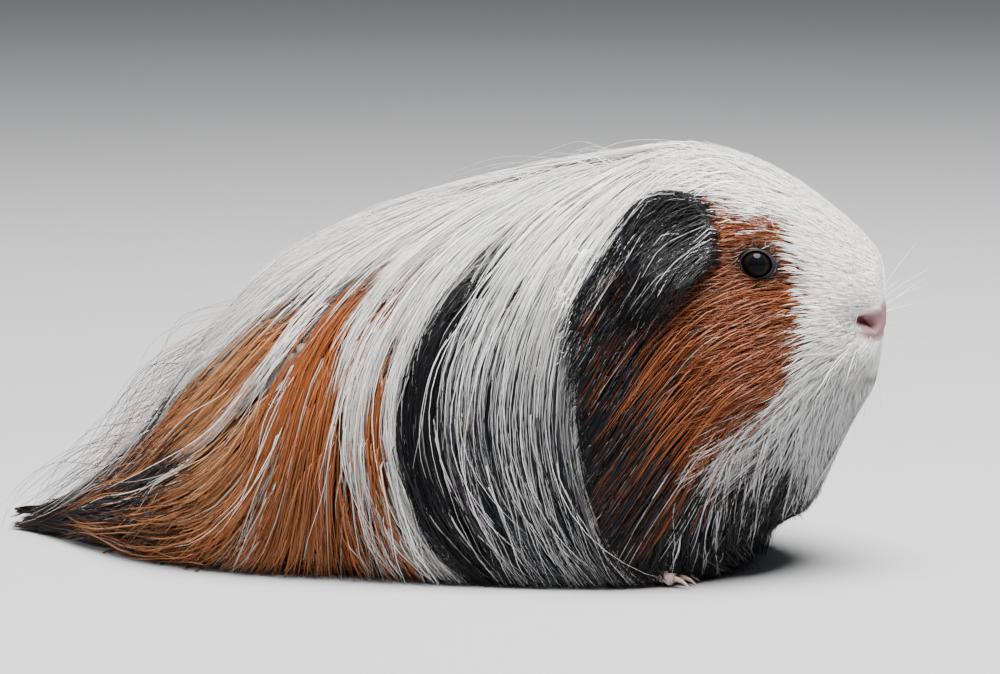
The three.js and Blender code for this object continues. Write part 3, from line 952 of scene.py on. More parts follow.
def lid_shell(side, radius, colours):
    """Bare lids: a ring that starts tucked against the ball, rises over a rounded rim and runs
    down in folds to the skin, wider and pointed towards the corners of the eye."""
    centre, axis, along, over = eye_frame(side)
    theta = full_turn(72)
    t = np.linspace(-0.28, 1, 22)[:, None]
    inner = radius * (0.82 + 0.09 * np.abs(np.cos(theta)) ** 3) - 0.3 * np.maximum(np.sin(theta), 0)
    outer = 1 / np.sqrt((np.cos(theta) / 6.6) ** 2 + (np.sin(theta) / 5.2) ** 2)
    outer = outer + 1.3 * np.abs(np.cos(theta)) ** 10
    reach = inner + (outer - inner) * np.maximum(t, 0) + 0.55 * np.maximum(-t, 0)
    u, v = reach * np.cos(theta), reach * np.sin(theta)
    ball = np.sqrt(np.maximum((radius + 0.45) ** 2 - inner ** 2, 0.2))
    skin = skin_height(side, u, v)
    fall = smooth(0, 1, np.maximum(t, 0)) * 0.6 + 0.4 * np.maximum(t, 0)
    folds = 0.13 * np.sin(t * 17) * band(t, 0.12, 0.85, 0.1)
    height = ball * (1 - fall) + (skin - 0.35) * fall + folds
    height = height - 3.2 * np.maximum(-t, 0) + 0.25 * band(t, 0.0, 0.12, 0.06)
    points = centre + u[..., None] * along + v[..., None] * over + height[..., None] * axis
    loop = np.concatenate([points, (points - 0.5 * axis)[::-1][1:-1]])
    edge = smooth(0.55, 1.0, np.concatenate([t, t[::-1][1:-1]]) + 0 * theta)[..., None]
    colour = (np.array(colours.lid) * (1 - edge) + np.array(colours.red) * 0.35 * edge).reshape(-1, 3)
    return loop.reshape(-1, 3), grid_faces(*loop.shape[:2], wrap=True), NO_TRIANGLES, colour


# The ear's petal: middle, turns about X, Y and Z, half width, half length and depth of the cup.
EAR_CENTRE = np.array([-34.5, -75.0, 95.0])
EAR_TURN = (14 * DEGREE, 36 * DEGREE, 16 * DEGREE)
EAR_WIDE, EAR_LONG, EAR_CUP = 13.0, 15.5, 4.0


def ear_turn():
    """The ear's rotation: sweep about Z, then flare about Y, then roll about X."""
    (sx, sy, sz), (cx, cy, cz) = np.sin(EAR_TURN), np.cos(EAR_TURN)
    about_x = np.array([[1, 0, 0], [0, cx, -sx], [0, sx, cx]])
    about_y = np.array([[cy, 0, sy], [0, 1, 0], [-sy, 0, cy]])
    about_z = np.array([[cz, -sz, 0], [sz, cz, 0], [0, 0, 1]])
    return about_x @ about_y @ about_z


def ear_place(side, reach, angle, off):
    """A point of the petal: reach from its middle (0) to its rim (1), an angle round it, and a
    distance off its middle sheet. The sheet is cupped, narrowed towards the tip, and its rim waves."""
    narrow = 1 - 0.18 * np.sin(angle)
    across = EAR_WIDE * reach * narrow * np.cos(angle)
    down = EAR_LONG * reach * np.sin(angle)
    cup = -EAR_CUP * reach ** 2 - 0.9 * reach ** 4 * np.sin(3 * angle + 0.6)
    ridge = 0.8 * np.exp(-((across - 3) / 2.0) ** 2) * smooth(-6, 4, down)
    local = np.stack([cup + ridge + off, across, -down], -1)
    return (EAR_CENTRE + local @ ear_turn().T) * mirror(side)


def ear_shell(side, colours):
    """A thin petal with a rounded rim: outer and inner sheet from one grid."""
    u = np.linspace(0.0, 1.0, 40)[:, None]
    angle = full_turn(56)
    reach = np.sin(np.minimum(u, 1 - u) * math.pi) + 0 * angle
    off = np.where(u < 0.5, 0.6, -0.6) * np.sqrt(np.maximum(0, 1 - reach ** 8))
    points = ear_place(side, reach, angle + 0 * u, off)
    flat, quads, triangles = closed_grid(points)
    # Painted sheen: the dark skin of the ear is lighter towards its middle than at its rim.
    tone = (0.8 + 0.5 * smooth(0.9, 0.2, reach))[..., None] * np.array(colours.ear)
    colour = np.concatenate([tone.reshape(-1, 3), tone[0, :1], tone[-1, :1]])
    return flat, quads, triangles, colour


# Paws: heel and length of the sole, width, height, toes, length and radius of a toe, spread.
PAWS = [
    {"name": "fore", "heel": (-33.0, -61.0), "length": 13.0, "width": 9.0, "height": 8.6,
     "toes": 4, "toe": 8.0, "radius": 2.2, "splay": 46.0},
    {"name": "hind", "heel": (-32.0, 59.0), "length": 30.0, "width": 12.0, "height": 10.0,
     "toes": 3, "toe": 9.0, "radius": 2.7, "splay": 30.0},
]


def toe_lines(paw, side):
    """Start and end of each toe, fanned out from the ball of the paw."""
    lines, (heel_x, heel_y) = [], paw["heel"]
    for i in range(paw["toes"]):
        angle = (i / (paw["toes"] - 1) - 0.5) * paw["splay"] * DEGREE
        ball_x = heel_x + math.sin(angle) * paw["width"] * 0.62
        start = np.array([ball_x, heel_y - paw["length"] + paw["radius"] - 1, paw["radius"] + 0.6])
        end = start + np.array([math.sin(angle), -math.cos(angle), 0]) * paw["toe"]
        end[2] = paw["radius"] * 0.9
        lines.append((start * mirror(side), end * mirror(side)))
    return lines


def in_one_tone(shells, colour):
    """The shells, each with one colour for all its points."""
    return [(*shell, np.tile(colour, (len(shell[0]), 1))) for shell in shells]


def paw_shells(paw, side, colours):
    """Sole, knuckled toes and toe pads of one paw."""
    x, y = paw["heel"]
    sole_middle = (-side * x, y - paw["length"] / 2, paw["height"] * 0.42)
    shells = [ellipsoid_shell(sole_middle, (paw["width"] / 2, paw["length"] / 2 + 2, paw["height"] * 0.5))]
    for start, end in toe_lines(paw, side):
        t = np.linspace(0, 1, 16)
        hump = np.array([0, 0, 1.0]) * (1.1 * np.sin(t * math.pi) ** 2)[:, None]
        path = start + (end - start) * t[:, None] + hump
        knuckles = 1 + 0.10 * np.cos((t - 0.45) * 4 * math.pi)
        rounding = np.sqrt(np.clip(1 - ((t - 0.45) / 0.56) ** 8, 0.01, 1))
        radii = paw["radius"] * (1 - 0.18 * t) * knuckles * rounding
        shells.append(tube_shell(path, radii, 16))
    return in_one_tone(shells, np.array(colours.toe))


def leg_shells(side, colours):
    """Forearm and thigh under the coat."""
    wrist, elbow, hip, heel, knee = np.array([
        [-33, -63, 10.5], [-30, -50, 36], [-40, 36, 24], [-34, 56, 8], [-38, 44, 22],
    ]) * mirror(side)
    forearm = tube_shell(*capsule_path(wrist, elbow, 5.2, 8.5))
    thigh = ellipsoid_shell(hip, (12, 24, 22))
    hock = tube_shell(*capsule_path(heel, knee, 5.0, 9.0))
    return in_one_tone((forearm, thigh, hock), np.array(colours.red) * 0.25)


def build_skin(sizes, colours):
    """One object of skin: body, lids, ears, legs and paws, all in closed shells."""
    shells = [body_shell(colours)]
    for side in SIDES:
        shells.append(lid_shell(side, sizes.eye_radius / MM, colours))
        shells.append(ear_shell(side, colours))
        for paw in PAWS:
            shells += paw_shells(paw, side, colours)
        shells += leg_shells(side, colours)
    parts, first = [], 0
    for flat, quads, triangles, colour in shells:
        quads, triangles = outward(flat, quads, triangles)
        parts.append((flat, quads + first, triangles + first, colour))
        first += len(flat)
    points, quads, triangles, tones = (np.concatenate(part) for part in zip(*parts))
    skin = new_mesh_object("skin", points, quads, triangles)
    paint(skin, "skin_colour", tones)
    finish_piece(skin, finish_named("skin", skin_finish))
    flesh = ["head", "neck", "trunk", "hindquarters", "coat_train", "nose"]
    for word in ("right", "left"):
        flesh += [f"{part}_{word}" for part in ("ear", "foreleg", "forefoot", "hindleg", "hindfoot")]
    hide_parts(*flesh)


# ---------------------------------------------------------------- eyes and claws

UP = np.array([0.0, 0.0, 1.0])


def place_of(word, side):
    """The name of a piece with its side."""
    return f"{word}_{'right' if side < 0 else 'left'}"


def build_eye(side, sizes, colours):
    """A ball with a bulging cornea: its radius grows by a bell curve about the axis of sight."""
    centre, axis, along, over = eye_frame(side)
    polar, turn = np.linspace(0.03, math.pi - 0.03, 40)[:, None], full_turn(48)
    radius = sizes.eye_radius / MM + 0.35 * np.exp(-(polar / 0.62) ** 2) - 0.1
    direction = (
        np.cos(polar)[..., None] * axis
        + (np.sin(polar) * np.cos(turn))[..., None] * along
        + (np.sin(polar) * np.sin(turn))[..., None] * over
    )
    flat, quads, triangles = closed_grid(centre + radius[..., None] * direction)
    eye = new_mesh_object(place_of("eyeball", side), flat, *outward(flat, quads, triangles))
    angle = np.concatenate([(polar / (math.pi / 2) + 0 * turn).ravel(), [0.0, 2.0]])
    store(eye, "eye_angle", "FLOAT", angle, "value")
    finish_piece(eye, finish_named("eye", eye_finish, colours))
    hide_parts(place_of("eye", side))


def build_claws(paw, side, colours):
    """Curved tapering claws of one paw: each path runs ahead and drops by the square of its run."""
    t, count = np.linspace(0, 1, 10), paw["toes"]
    drop = np.stack([0 * t, 0 * t, -1.9 * t ** 2], -1)
    paths = []
    for start, end in toe_lines(paw, side):
        ahead = unit(end - start) * [1, 1, 0]
        begin = end + ahead * (paw["radius"] * 0.2) + [0, 0, 0.5]
        paths.append(begin + ahead * (5.0 * t)[:, None] + drop)
    points = np.array(paths)
    points[..., 2] = np.maximum(points[..., 2], 0.35)
    width = np.tile(1.9 * (1 - 0.8 * t ** 1.3), (count, 1))
    tone = np.tile(np.array(colours.horn) * (0.8 + 0.5 * t)[:, None], (count, 1, 1))
    uv = np.tile([0.5, 0.5], (count, 1)) + np.arange(count)[:, None] * 0.01
    claw, normals = paw["name"] + "claw", np.tile(UP, (count, len(t), 1))
    made = strands(place_of(f"{claw}s", side), points, normals, width, tone, uv, 8, 0.85)
    finish_piece(made, finish_named("claw_horn", horn_finish))
    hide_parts(*[place_of(f"{claw}_{i + 1}", side) for i in range(count)])


# ---------------------------------------------------------------- grooming

# Steps along a traced path, the most steps of one, and the lowest height of a lock's middle.
LONG_STEP, FINE_STEP, FACE_STEP = 2.5, 1.5, 0.8
MOST_STEPS = 60
FLOOR_GAP = 0.4
NEVER = 10 ** 4

# Hair finishes: name, roughness, specular level, contrast of the streaks.
LONG_HAIR = ("long_hair", 0.42, 0.28, 0.9)
SHORT_FUR = ("short_fur", 0.6, 0.2, 0.6)

# What the darker red of the face (deeper rust and painted shade), the painted grey-blue shade of the low
# whites and the grey and painted shade low in the silver band take from red, green and blue.
RUST_AND_PAINTED_SHADE = np.array([0.42, 0.46, 0.48])
GREY_PAINTED_SHADE = np.array([1.0, 0.96, 0.90])
SILVER_AND_PAINTED_SHADE = np.array([1.0, 0.994, 0.985])


def scatter(rng, count, s_range, a_range, side, weight=None):
    """Roots spread evenly over a patch of the coat: a cell of s and a is drawn by its area (times
    an optional weight of s and a), and the root falls anywhere in it."""
    s = np.linspace(*s_range, 61)
    a = np.linspace(*a_range, 61) * DEGREE
    ss, aa = np.meshgrid(s, a, indexing="ij")
    grid = coat_point(ss, aa, side)
    area = np.linalg.norm(np.cross(grid[1:, :-1] - grid[:-1, :-1], grid[:-1, 1:] - grid[:-1, :-1]), axis=-1)
    if weight is not None:
        area = area * weight(ss[:-1, :-1], aa[:-1, :-1] / DEGREE)
    cell = rng.choice(area.size, count, p=(area / area.sum()).ravel())
    i, j = np.unravel_index(cell, area.shape)
    return s[i] + rng.random(count) * (s[1] - s[0]), a[j] + rng.random(count) * (a[1] - a[0])


def depth_run(top, steps, rise=0.14, root=0.95, lift=0.0):
    """Layer along each lock: from near the skin up to its own layer, and lifted at the tip."""
    share = np.linspace(0, 1, steps)[None, :]
    top = np.asarray(top)[:, None]
    return top + (root - top) * (1 - smooth(0, rise, share)) - lift * smooth(0.7, 1.0, share)


def first_true(flags):
    """Index of the first True of each row, or one past every path where there is none."""
    return np.where(flags.any(1), flags.argmax(1), NEVER)


def spin_noise(rng, s, a, size):
    """Angle each lock strays by: its own share and one shared by its neighbours."""
    own = rng.normal(0, 1, len(s))
    key = np.floor(s / 0.16) * 97.0 + np.floor(a / (7 * DEGREE)) * 13.0
    shared = np.sin(key * 12.9898) * 1.3
    return (0.75 * own + 0.6 * shared) * size * DEGREE


def by_kind(kind, white, other):
    """One factor for white locks and another for the rest."""
    return np.where(kind == WHITE, white, other)[:, None, None]


def painted_face_shade(tone, kind, points, side):
    """Painted shade on the face's fur: deeper rust on the cheek that is partly painted shade, whites painted
    a shaded grey-blue below it, painted shade in the fur about the eye and along the mouth.
    """
    x, y, z = np.abs(points[..., 0]), points[..., 1], points[..., 2]
    # Painted shade: white fur turns grey-blue towards the bottom, darker the lower it is.
    grey = 0.36 * (1 - smooth(34, 84, z)) * (kind == WHITE)[:, None]
    # All red fur here is darker: the deeper rust of the hair and painted shade.
    rust = (kind == RED)[:, None] * RUST_AND_PAINTED_SHADE
    tone = tone * (1 - grey[..., None] * GREY_PAINTED_SHADE) * (1 - rust[:, None])
    centre, _, along, over = eye_frame(side)
    # Painted shade of the hollow about the eye, on fur that is not white, and of the crease along the mouth.
    away = np.hypot((points - centre) @ along / 9.5, (points - centre) @ over / 7.0)
    mouth = np.exp(-((z - lip_line(x)) / 1.0) ** 2) * smooth(-113, -121, y) * (1 - smooth(6.5, 10.5, x))
    shade = np.clip(0.75 * np.exp(-away ** 4) * (kind != WHITE)[:, None] + 0.6 * mouth, 0, 0.85)
    return tone * (1 - shade[..., None])


def dark_ends(tone, points):
    """Hair that reaches the end of the train turns black there."""
    place = points[..., 1] + 3.0 * np.sin(points[..., :1, 0] * 1.7)
    return tone * (1 - 0.93 * smooth(97, 117, place)[..., None])


def face_density(s, a):
    """Tufts stand closer towards the muzzle."""
    return np.interp(s, [0, 3, 7], [2.6, 1.6, 0.8]) * np.interp(a, [0, 130, 150], [1.0, 1.0, 0.6])


def round_the_eye(points, side):
    """Tufts part round the lids: a point inside an ellipse about the eye moves out to its edge."""
    centre, axis, along, over = eye_frame(side)
    off = points - centre
    u, v, w = off @ along, off @ over, off @ axis
    reach = np.sqrt((u / 5.7) ** 2 + (v / 4.35) ** 2)
    grow = np.where((w > -6) & (reach < 1), 1 / np.maximum(reach, 0.2) - 1, 0.0)
    return points + (u * grow)[..., None] * along + (v * grow)[..., None] * over


def over_the_ear(points, side, gap):
    """Lifts the points that lie under the sheet of the ear to the given gap above it."""
    local = (points * mirror(side) - EAR_CENTRE) @ ear_turn()
    reach = np.hypot(local[..., 1] / EAR_WIDE, local[..., 2] / EAR_LONG)
    ceiling = -EAR_CUP * np.minimum(reach, 1.1) ** 2 - 0.7 - gap
    near = 1 - smooth(0.95, 1.3, reach)
    local[..., 0] += near * np.minimum(ceiling - local[..., 0], 0)
    return (local @ ear_turn().T + EAR_CENTRE) * mirror(side)


def clear_of_ear(points, side):
    """True for locks that nowhere pass through the sheet of the ear."""
    local = (points * mirror(side) - EAR_CENTRE) @ ear_turn()
    reach = np.hypot(local[..., 1] / (EAR_WIDE - 0.8), local[..., 2] / EAR_LONG)
    gap = local[..., 0] + EAR_CUP * reach ** 2
    return ~((reach < 1.0) & (gap < 2.5) & (gap > -6.0)).any(axis=1)


def outside_nose(points):
    """True for tufts that stay clear of the bare pad of the nose."""
    x, y, z = np.abs(points[..., 0]), points[..., 1], points[..., 2]
    inside = (x < 10.5) & (y < -126.5) & (z > 67.8) & (z < 78.6 - 0.25 * x)
    return ~inside.any(axis=1)


class Locks:
    """The locks of one group on one side while they are groomed, from their roots to their mesh.

    All draws come from one seeded generator, so the order of the calls is part of the look.
    """

    def __init__(self, seed, side, count, steps):
        self.side, self.count, self.steps = side, count, steps
        self.rng = np.random.default_rng(seed + int(side))
        self.colours = bpy.context.scene.pig_colours
        self.share = np.linspace(0, 1, steps)[None, :]

    def draw(self, low, high):
        """An even draw for each lock."""
        return self.rng.uniform(low, high, self.count)

    def chance(self, share):
        """True for about that share of the locks."""
        return self.rng.random(self.count) < share

    def root(self, s_range, a_range, weight=None):
        """Scatters the roots over a patch."""
        self.s, self.a = scatter(self.rng, self.count, s_range, a_range, self.side, weight)
        return self.s, self.a

    def comb(self, lie, reach, stray, step=LONG_STEP):
        """Traces the paths along a lie: each runs its reach, or as far as the hem or the tip."""
        most = min(MOST_STEPS, math.ceil(np.max(reach) / step) + 2)
        swing = spin_noise(self.rng, self.s, self.a, stray)
        self.path, room = trace(self.s, self.a, self.side, lie, swing, step, most)
        self.length, self.step = np.minimum(room, reach), step

    def passing_ring(self):
        """The ring at which each path passes the middle of the flank, or else the formula's."""
        past = self.path[..., 1] > 85 * DEGREE
        ring = self.path[np.arange(self.count), past.argmax(1), 0]
        return np.where(past.any(1), ring, flow_label(self.s, self.a))

    def pigment(self, label=None):
        """The pigment at each root."""
        return pigment(self.s, self.a, self.side, self.rng, label)

    def cut_white(self, kind, label, margin):
        """White locks end a margin past the place where they reach a coloured patch."""
        s, a = self.path[..., 0], self.path[..., 1]
        red, black = markings(s, a, self.side, label[:, None] + 0 * s)
        limit = first_true((red + black) > 0.5) * self.step + margin
        self.length = np.where(kind == WHITE, np.minimum(self.length, limit), self.length)

    def lay(self, top, **run):
        """Cuts the paths at their length and lays each in its layer of the coat."""
        depth = depth_run(top, self.steps, **run)
        self.points, self.normals = lay(self.path, self.step, self.length, self.steps, depth, self.side)

    def gather(self, s_cell, a_cell, pull, shift=0.0):
        """Draws neighbours together, by cells of so many rings and degrees."""
        roots = np.stack([self.s + shift, self.a], -1)
        self.points = gather(self.points, roots, (s_cell, a_cell * DEGREE), pull)

    def wave(self, size, turns):
        """Waves each lock by a drawn size and number of turns."""
        size, turns = self.draw(*size), self.draw(*turns)
        self.points = wave(self.points, self.normals, size, turns, self.rng)

    def stand_off(self, rise, turn, power):
        """Lifts each lock off the coat along a part of a sine curve."""
        curve = np.sin(self.share[..., None] * math.pi * turn) ** power
        self.points = self.points + self.normals * self.draw(*rise)[:, None, None] * curve

    def over_floor(self, gap=FLOOR_GAP):
        """Keeps every point at least a gap above the floor."""
        self.points[..., 2] = np.maximum(self.points[..., 2], gap)

    def over_midline(self, size, nearness=1.0):
        """Locks rooted by the midline cross it: each is shifted sideways more and more along its run."""
        near = np.minimum(self.a, math.pi - self.a) * nearness
        shift = self.rng.normal(0, size, self.count) * np.exp(-(near / (7 * DEGREE)) ** 2)
        self.points[..., 0] += shift[:, None] * np.linspace(0.3, 1, self.steps)[None, :]

    def to_floor(self):
        """Locks that end near the floor settle on it: their last part sinks to it and spreads outward."""
        tip = self.points[:, -1, 2]
        low = 1 - smooth(14, 20, tip)
        run = smooth(0.5, 1, self.share)
        sink = (tip - self.draw(0.4, 2.2)) * low
        self.points[..., 2] -= sink[:, None] * run
        spread = (low * self.draw(0.2, 2.6))[:, None, None] * run[..., None] ** 2
        self.points[..., :2] += self.normals[..., :2] * spread
        self.over_floor()

    def tone(self, kind, **looks):
        """A colour along each lock."""
        return lock_colours(kind, self.steps, self.colours, self.rng, **looks)

    def mesh(self, name, width, ends, tone, finish, slot, flat=0.6, keep=slice(None)):
        """The pieces of the group: width of each lock, its share at root and tip, and its looks."""
        width, uv = taper(self.steps, width, *ends), root_map(self.s, self.a, self.side)
        parts = (self.points, self.normals, width, tone, uv)
        material = finish_named(finish[0], hair_finish, *finish)
        coat_pieces(place_of(name, self.side), [part[keep] for part in parts], material, flat)


def both_sides(seed, count, steps):
    """The locks of a group on its right side, then on its left."""
    for side in SIDES:
        yield Locks(seed, side, count, steps)


# ---------------------------------------------------------------- properties

def number_property(name, description, default, **limits):
    return FloatProperty(name=name, description=description, default=default, **limits)


def count_property(name, description, default):
    return IntProperty(name=name, description=description, default=default, min=10)


def length_property(name, description, default):
    return number_property(name, description, default, min=0.0, unit="LENGTH", precision=5)


def tint_property(name, description, default):
    return FloatVectorProperty(
        name=name, description=description, default=default, size=3, min=0.0, max=1.0, subtype="COLOR"
    )


class PigSizes(bpy.types.PropertyGroup):
    eye_radius: length_property("Eye radius", "Radius of the eyeball", 0.0048)
    whisker_width: length_property("Whisker width", "Thickness of a whisker at its root", 0.00032)


class PigColours(bpy.types.PropertyGroup):
    white: tint_property("White hair", "Colour of the white hair", (0.86, 0.84, 0.81))
    red: tint_property("Red hair", "Colour of the orange-red hair", (0.30, 0.082, 0.022))
    tan: tint_property("Tan hair", "Colour of the golden hair among the red", (0.56, 0.31, 0.145))
    black: tint_property("Black hair", "Colour of the black hair", (0.0075, 0.0070, 0.0088))
    bare: tint_property("Bare nose", "Skin of the nose", (0.29, 0.155, 0.16))
    lid: tint_property("Lids", "Bare skin of the lids", (0.011, 0.011, 0.014))
    ear: tint_property("Ear skin", "Bare skin inside the ear", (0.014, 0.015, 0.020))
    toe: tint_property("Toes", "Skin of the feet", (0.62, 0.43, 0.39))
    horn: tint_property("Claws", "Horn of the claws", (0.42, 0.34, 0.28))
    iris: tint_property("Iris", "Ring of the iris", (0.010, 0.006, 0.005))
    floor: tint_property("Floor", "Studio floor", (0.36, 0.36, 0.36))


class PigCoat(bpy.types.PropertyGroup):
    long_locks: count_property("Long locks", "Long locks on each side", 4350)
    long_width: length_property("Long lock width", "Width of a long lock", 0.00048)
    under_locks: count_property("Under locks", "Broad locks below on each side", 650)
    face_tufts: count_property("Face tufts", "Short tufts on each side of the face", 10200)
    hem_locks: count_property("Hem locks", "Fine ends along each lower edge", 900)
    stray: number_property("Stray", "Angle in degrees by which locks stray", 2.2, min=0.0, max=20.0)
    clump: number_property("Clump", "How far hairs are drawn together at their tips", 0.55, min=0.0, max=1.0)


class PigStage(bpy.types.PropertyGroup):
    lens: number_property("Lens", "Focal length in millimetres", 122.4, min=10.0)
    distance: length_property("Distance", "Camera distance", 1.0)
    azimuth: number_property("Azimuth", "Degrees round the animal from its face", -76.0)
    elevation: number_property("Elevation", "Degrees above the floor", 8.0)
    key: number_property("Key light", "Power of the large light above, in watts", 80.0)
    fill: number_property("Fill light", "Strength of the even light all round", 0.17)


# ---------------------------------------------------------------- operators

# Half edge of the floor in millimetres; the rest of the stage in metres.
FLOOR_EDGE = 12000.0
CAMERA_TARGET = Vector((0.0, -0.0202, 0.064))
KEY_PLACE = Vector((-0.12, -0.22, 1.15))
KEY_WIDTH = 0.8
FILL_COLOUR = (0.86, 0.9, 1.0, 1)


def stand(name, data, place, back):
    """A camera or lamp at its place, turned so that its back points along the given way."""
    made = bpy.data.objects.new(name, data)
    made.location = place
    made.rotation_euler = back.to_track_quat("Z", "Y").to_euler()
    bpy.context.scene.collection.objects.link(made)
    return made


class PIG_OT_stage(bpy.types.Operator):
    """Floor, large soft light above, low fill and the camera."""
    bl_idname = "pig.stage"
    bl_label = "Stage"

    def execute(self, context):
        colours, stage = context.scene.pig_colours, context.scene.pig_stage
        corners = np.array([[-1, -1, 0], [1, -1, 0], [1, 1, 0], [-1, 1, 0]]) * FLOOR_EDGE
        floor = new_mesh_object("floor", corners, np.array([[0, 1, 2, 3]]))
        floor.data.materials.append(finish_named("floor", floor_finish, colours.floor[:]))
        azimuth, elevation = stage.azimuth * DEGREE, stage.elevation * DEGREE
        level = math.cos(elevation)
        back = Vector((math.sin(azimuth) * level, -math.cos(azimuth) * level, math.sin(elevation)))
        view = bpy.data.cameras.new("camera")
        view.lens = stage.lens
        view.sensor_width = 36.0
        view.clip_start = 0.01
        context.scene.camera = stand("camera", view, CAMERA_TARGET + back * stage.distance, back)
        lamp = bpy.data.lights.new("key", "AREA")
        lamp.shape = "DISK"
        lamp.size = KEY_WIDTH
        lamp.energy = stage.key
        stand("key", lamp, KEY_PLACE, KEY_PLACE - CAMERA_TARGET)
        world = bpy.data.worlds.new("studio")
        world.use_nodes = True
        sky = world.node_tree.nodes["Background"].inputs
        sky["Color"].default_value = FILL_COLOUR
        sky["Strength"].default_value = stage.fill
        context.scene.world = world
        return {"FINISHED"}


class PIG_OT_skin(bpy.types.Operator):
    """One skin under the coat, in place of the nodes of flesh."""
    bl_idname = "pig.skin"
    bl_label = "Skin"

    def execute(self, context):
        build_skin(context.scene.pig_sizes, context.scene.pig_colours)
        return {"FINISHED"}


class PIG_OT_eyes(bpy.types.Operator):
    """Both eyeballs."""
    bl_idname = "pig.eyes"
    bl_label = "Eyes"

    def execute(self, context):
        for side in SIDES:
            build_eye(side, context.scene.pig_sizes, context.scene.pig_colours)
        return {"FINISHED"}


class PIG_OT_claws(bpy.types.Operator):
    """Four claws on each forefoot and three on each hind foot."""
    bl_idname = "pig.claws"
    bl_label = "Claws"

    def execute(self, context):
        for side in SIDES:
            for paw in PAWS:
                build_claws(paw, side, context.scene.pig_colours)
        return {"FINISHED"}


class PIG_OT_under_coat(bpy.types.Operator):
    """Broad flat locks just over the skin, in the shade of the long coat."""
    bl_idname = "pig.under_coat"
    bl_label = "Under coat"

    def execute(self, context):
        for locks in both_sides(11, context.scene.pig_coat.under_locks, 8):
            _, a = locks.root((5.6, 14.3), (0, 100))
            locks.comb(coat_lie, locks.draw(45, 75), 3.0)
            label = locks.passing_ring()
            kind = locks.pigment(label)
            dark = (kind == WHITE) & (a > 42 * DEGREE) & locks.chance(0.85) & (locks.side < 0)
            kind = np.where(dark & (label > 8.7) & (label < 10.1), BLACK, kind)
            locks.cut_white(kind, label, locks.draw(-2, 6))
            locks.lay(locks.draw(0.62, 0.8))
            width, keep = locks.draw(2.6, 4.2), locks.length > 6
            # Under locks are painted darker than their hair, whites by a tenth and the rest by four tenths:
            # painted shade under the long coat.
            tone = dark_ends(locks.tone(kind, root_dark=0.2) * by_kind(kind, 0.9, 0.6), locks.points)
            locks.mesh("under_coat", width, (0.5, 0.15), tone, LONG_HAIR, "white_coat", 0.16, keep)
        return {"FINISHED"}


class PIG_OT_long_coat(bpy.types.Operator):
    """Long straight locks from back line and shoulders down to the hem."""
    bl_idname = "pig.long_coat"
    bl_label = "Long coat"

    def execute(self, context):
        coat = context.scene.pig_coat
        for locks in both_sides(21, coat.long_locks, 10):
            s, a = locks.root((5.3, 14.0), (1, 84))
            reach = locks.draw(88, 150) * np.interp(s, [5.3, 6.3, 7.2], [0.13, 0.42, 1.0])
            locks.comb(coat_lie, reach, coat.stray)
            locks.length = locks.length * (1 - 0.35 * locks.draw(0, 1) ** 2.5)
            label = locks.passing_ring()
            kind = locks.pigment(label)
            far = locks.chance(0.13) & (s > 8.6)
            locks.cut_white(kind, label, np.where(far, locks.draw(10, 45), locks.draw(0, 5) * (s > 7.2)))
            crown = (s < 6.6) & (a > 40 * DEGREE)
            keep = (locks.length > 8) & ~crown & ((kind != RED) | (s > 7.6))
            broad = locks.chance(0.3)
            layer = 0.02 + 0.4 * np.clip(a / (90 * DEGREE), 0, 1)
            locks.lay(layer + locks.draw(0, 0.14) + 0.14 * broad, lift=0.03)
            locks.gather(0.10, 3.2, coat.clump)
            locks.gather(0.30, 11, coat.clump * 0.35, shift=0.05)
            locks.wave((0.1, 0.9), (0.6, 1.8))
            locks.over_midline(2.5)
            locks.to_floor()
            fine = np.where(band(label, 8.75, 10.9, 0.1) > 0.5, 0.72, 1.0) * np.where(far, 0.55, 1.0)
            width = np.where(broad, locks.draw(1.7, 2.6), locks.draw(0.5, 1.1) * fine) * coat.long_width / MM
            tone = locks.tone(kind, gold=smooth(10.6, 12.4, s) * 0.85)
            # White locks of the silver band on its right side turn dark below a height drawn for each lock,
            # nearly black for most: partly the band's grey hair, partly painted shade of the lower flank.
            silver = band(label, 8.78, 10.12, 0.05) + 0.25 * band(label, 10.44, 10.95, 0.05)
            dark = (broad & locks.chance(0.97)) | locks.chance(0.6)
            silver = silver * (kind == WHITE) * (locks.side < 0)
            silver = silver * np.where(dark, 0.98, locks.draw(0.25, 0.72))
            turn = np.where(dark, locks.draw(50, 98), 80)[:, None]
            fade = silver[:, None] * (1 - smooth(turn - 13, turn + 13, locks.points[..., 2]))
            tone = dark_ends(tone * (1 - fade[..., None] * SILVER_AND_PAINTED_SHADE), locks.points)
            keep = keep & clear_of_ear(locks.points, locks.side)
            locks.mesh("long_coat", width, (0.6, 0.14), tone, LONG_HAIR, "white_coat", 0.45, keep)
        return {"FINISHED"}


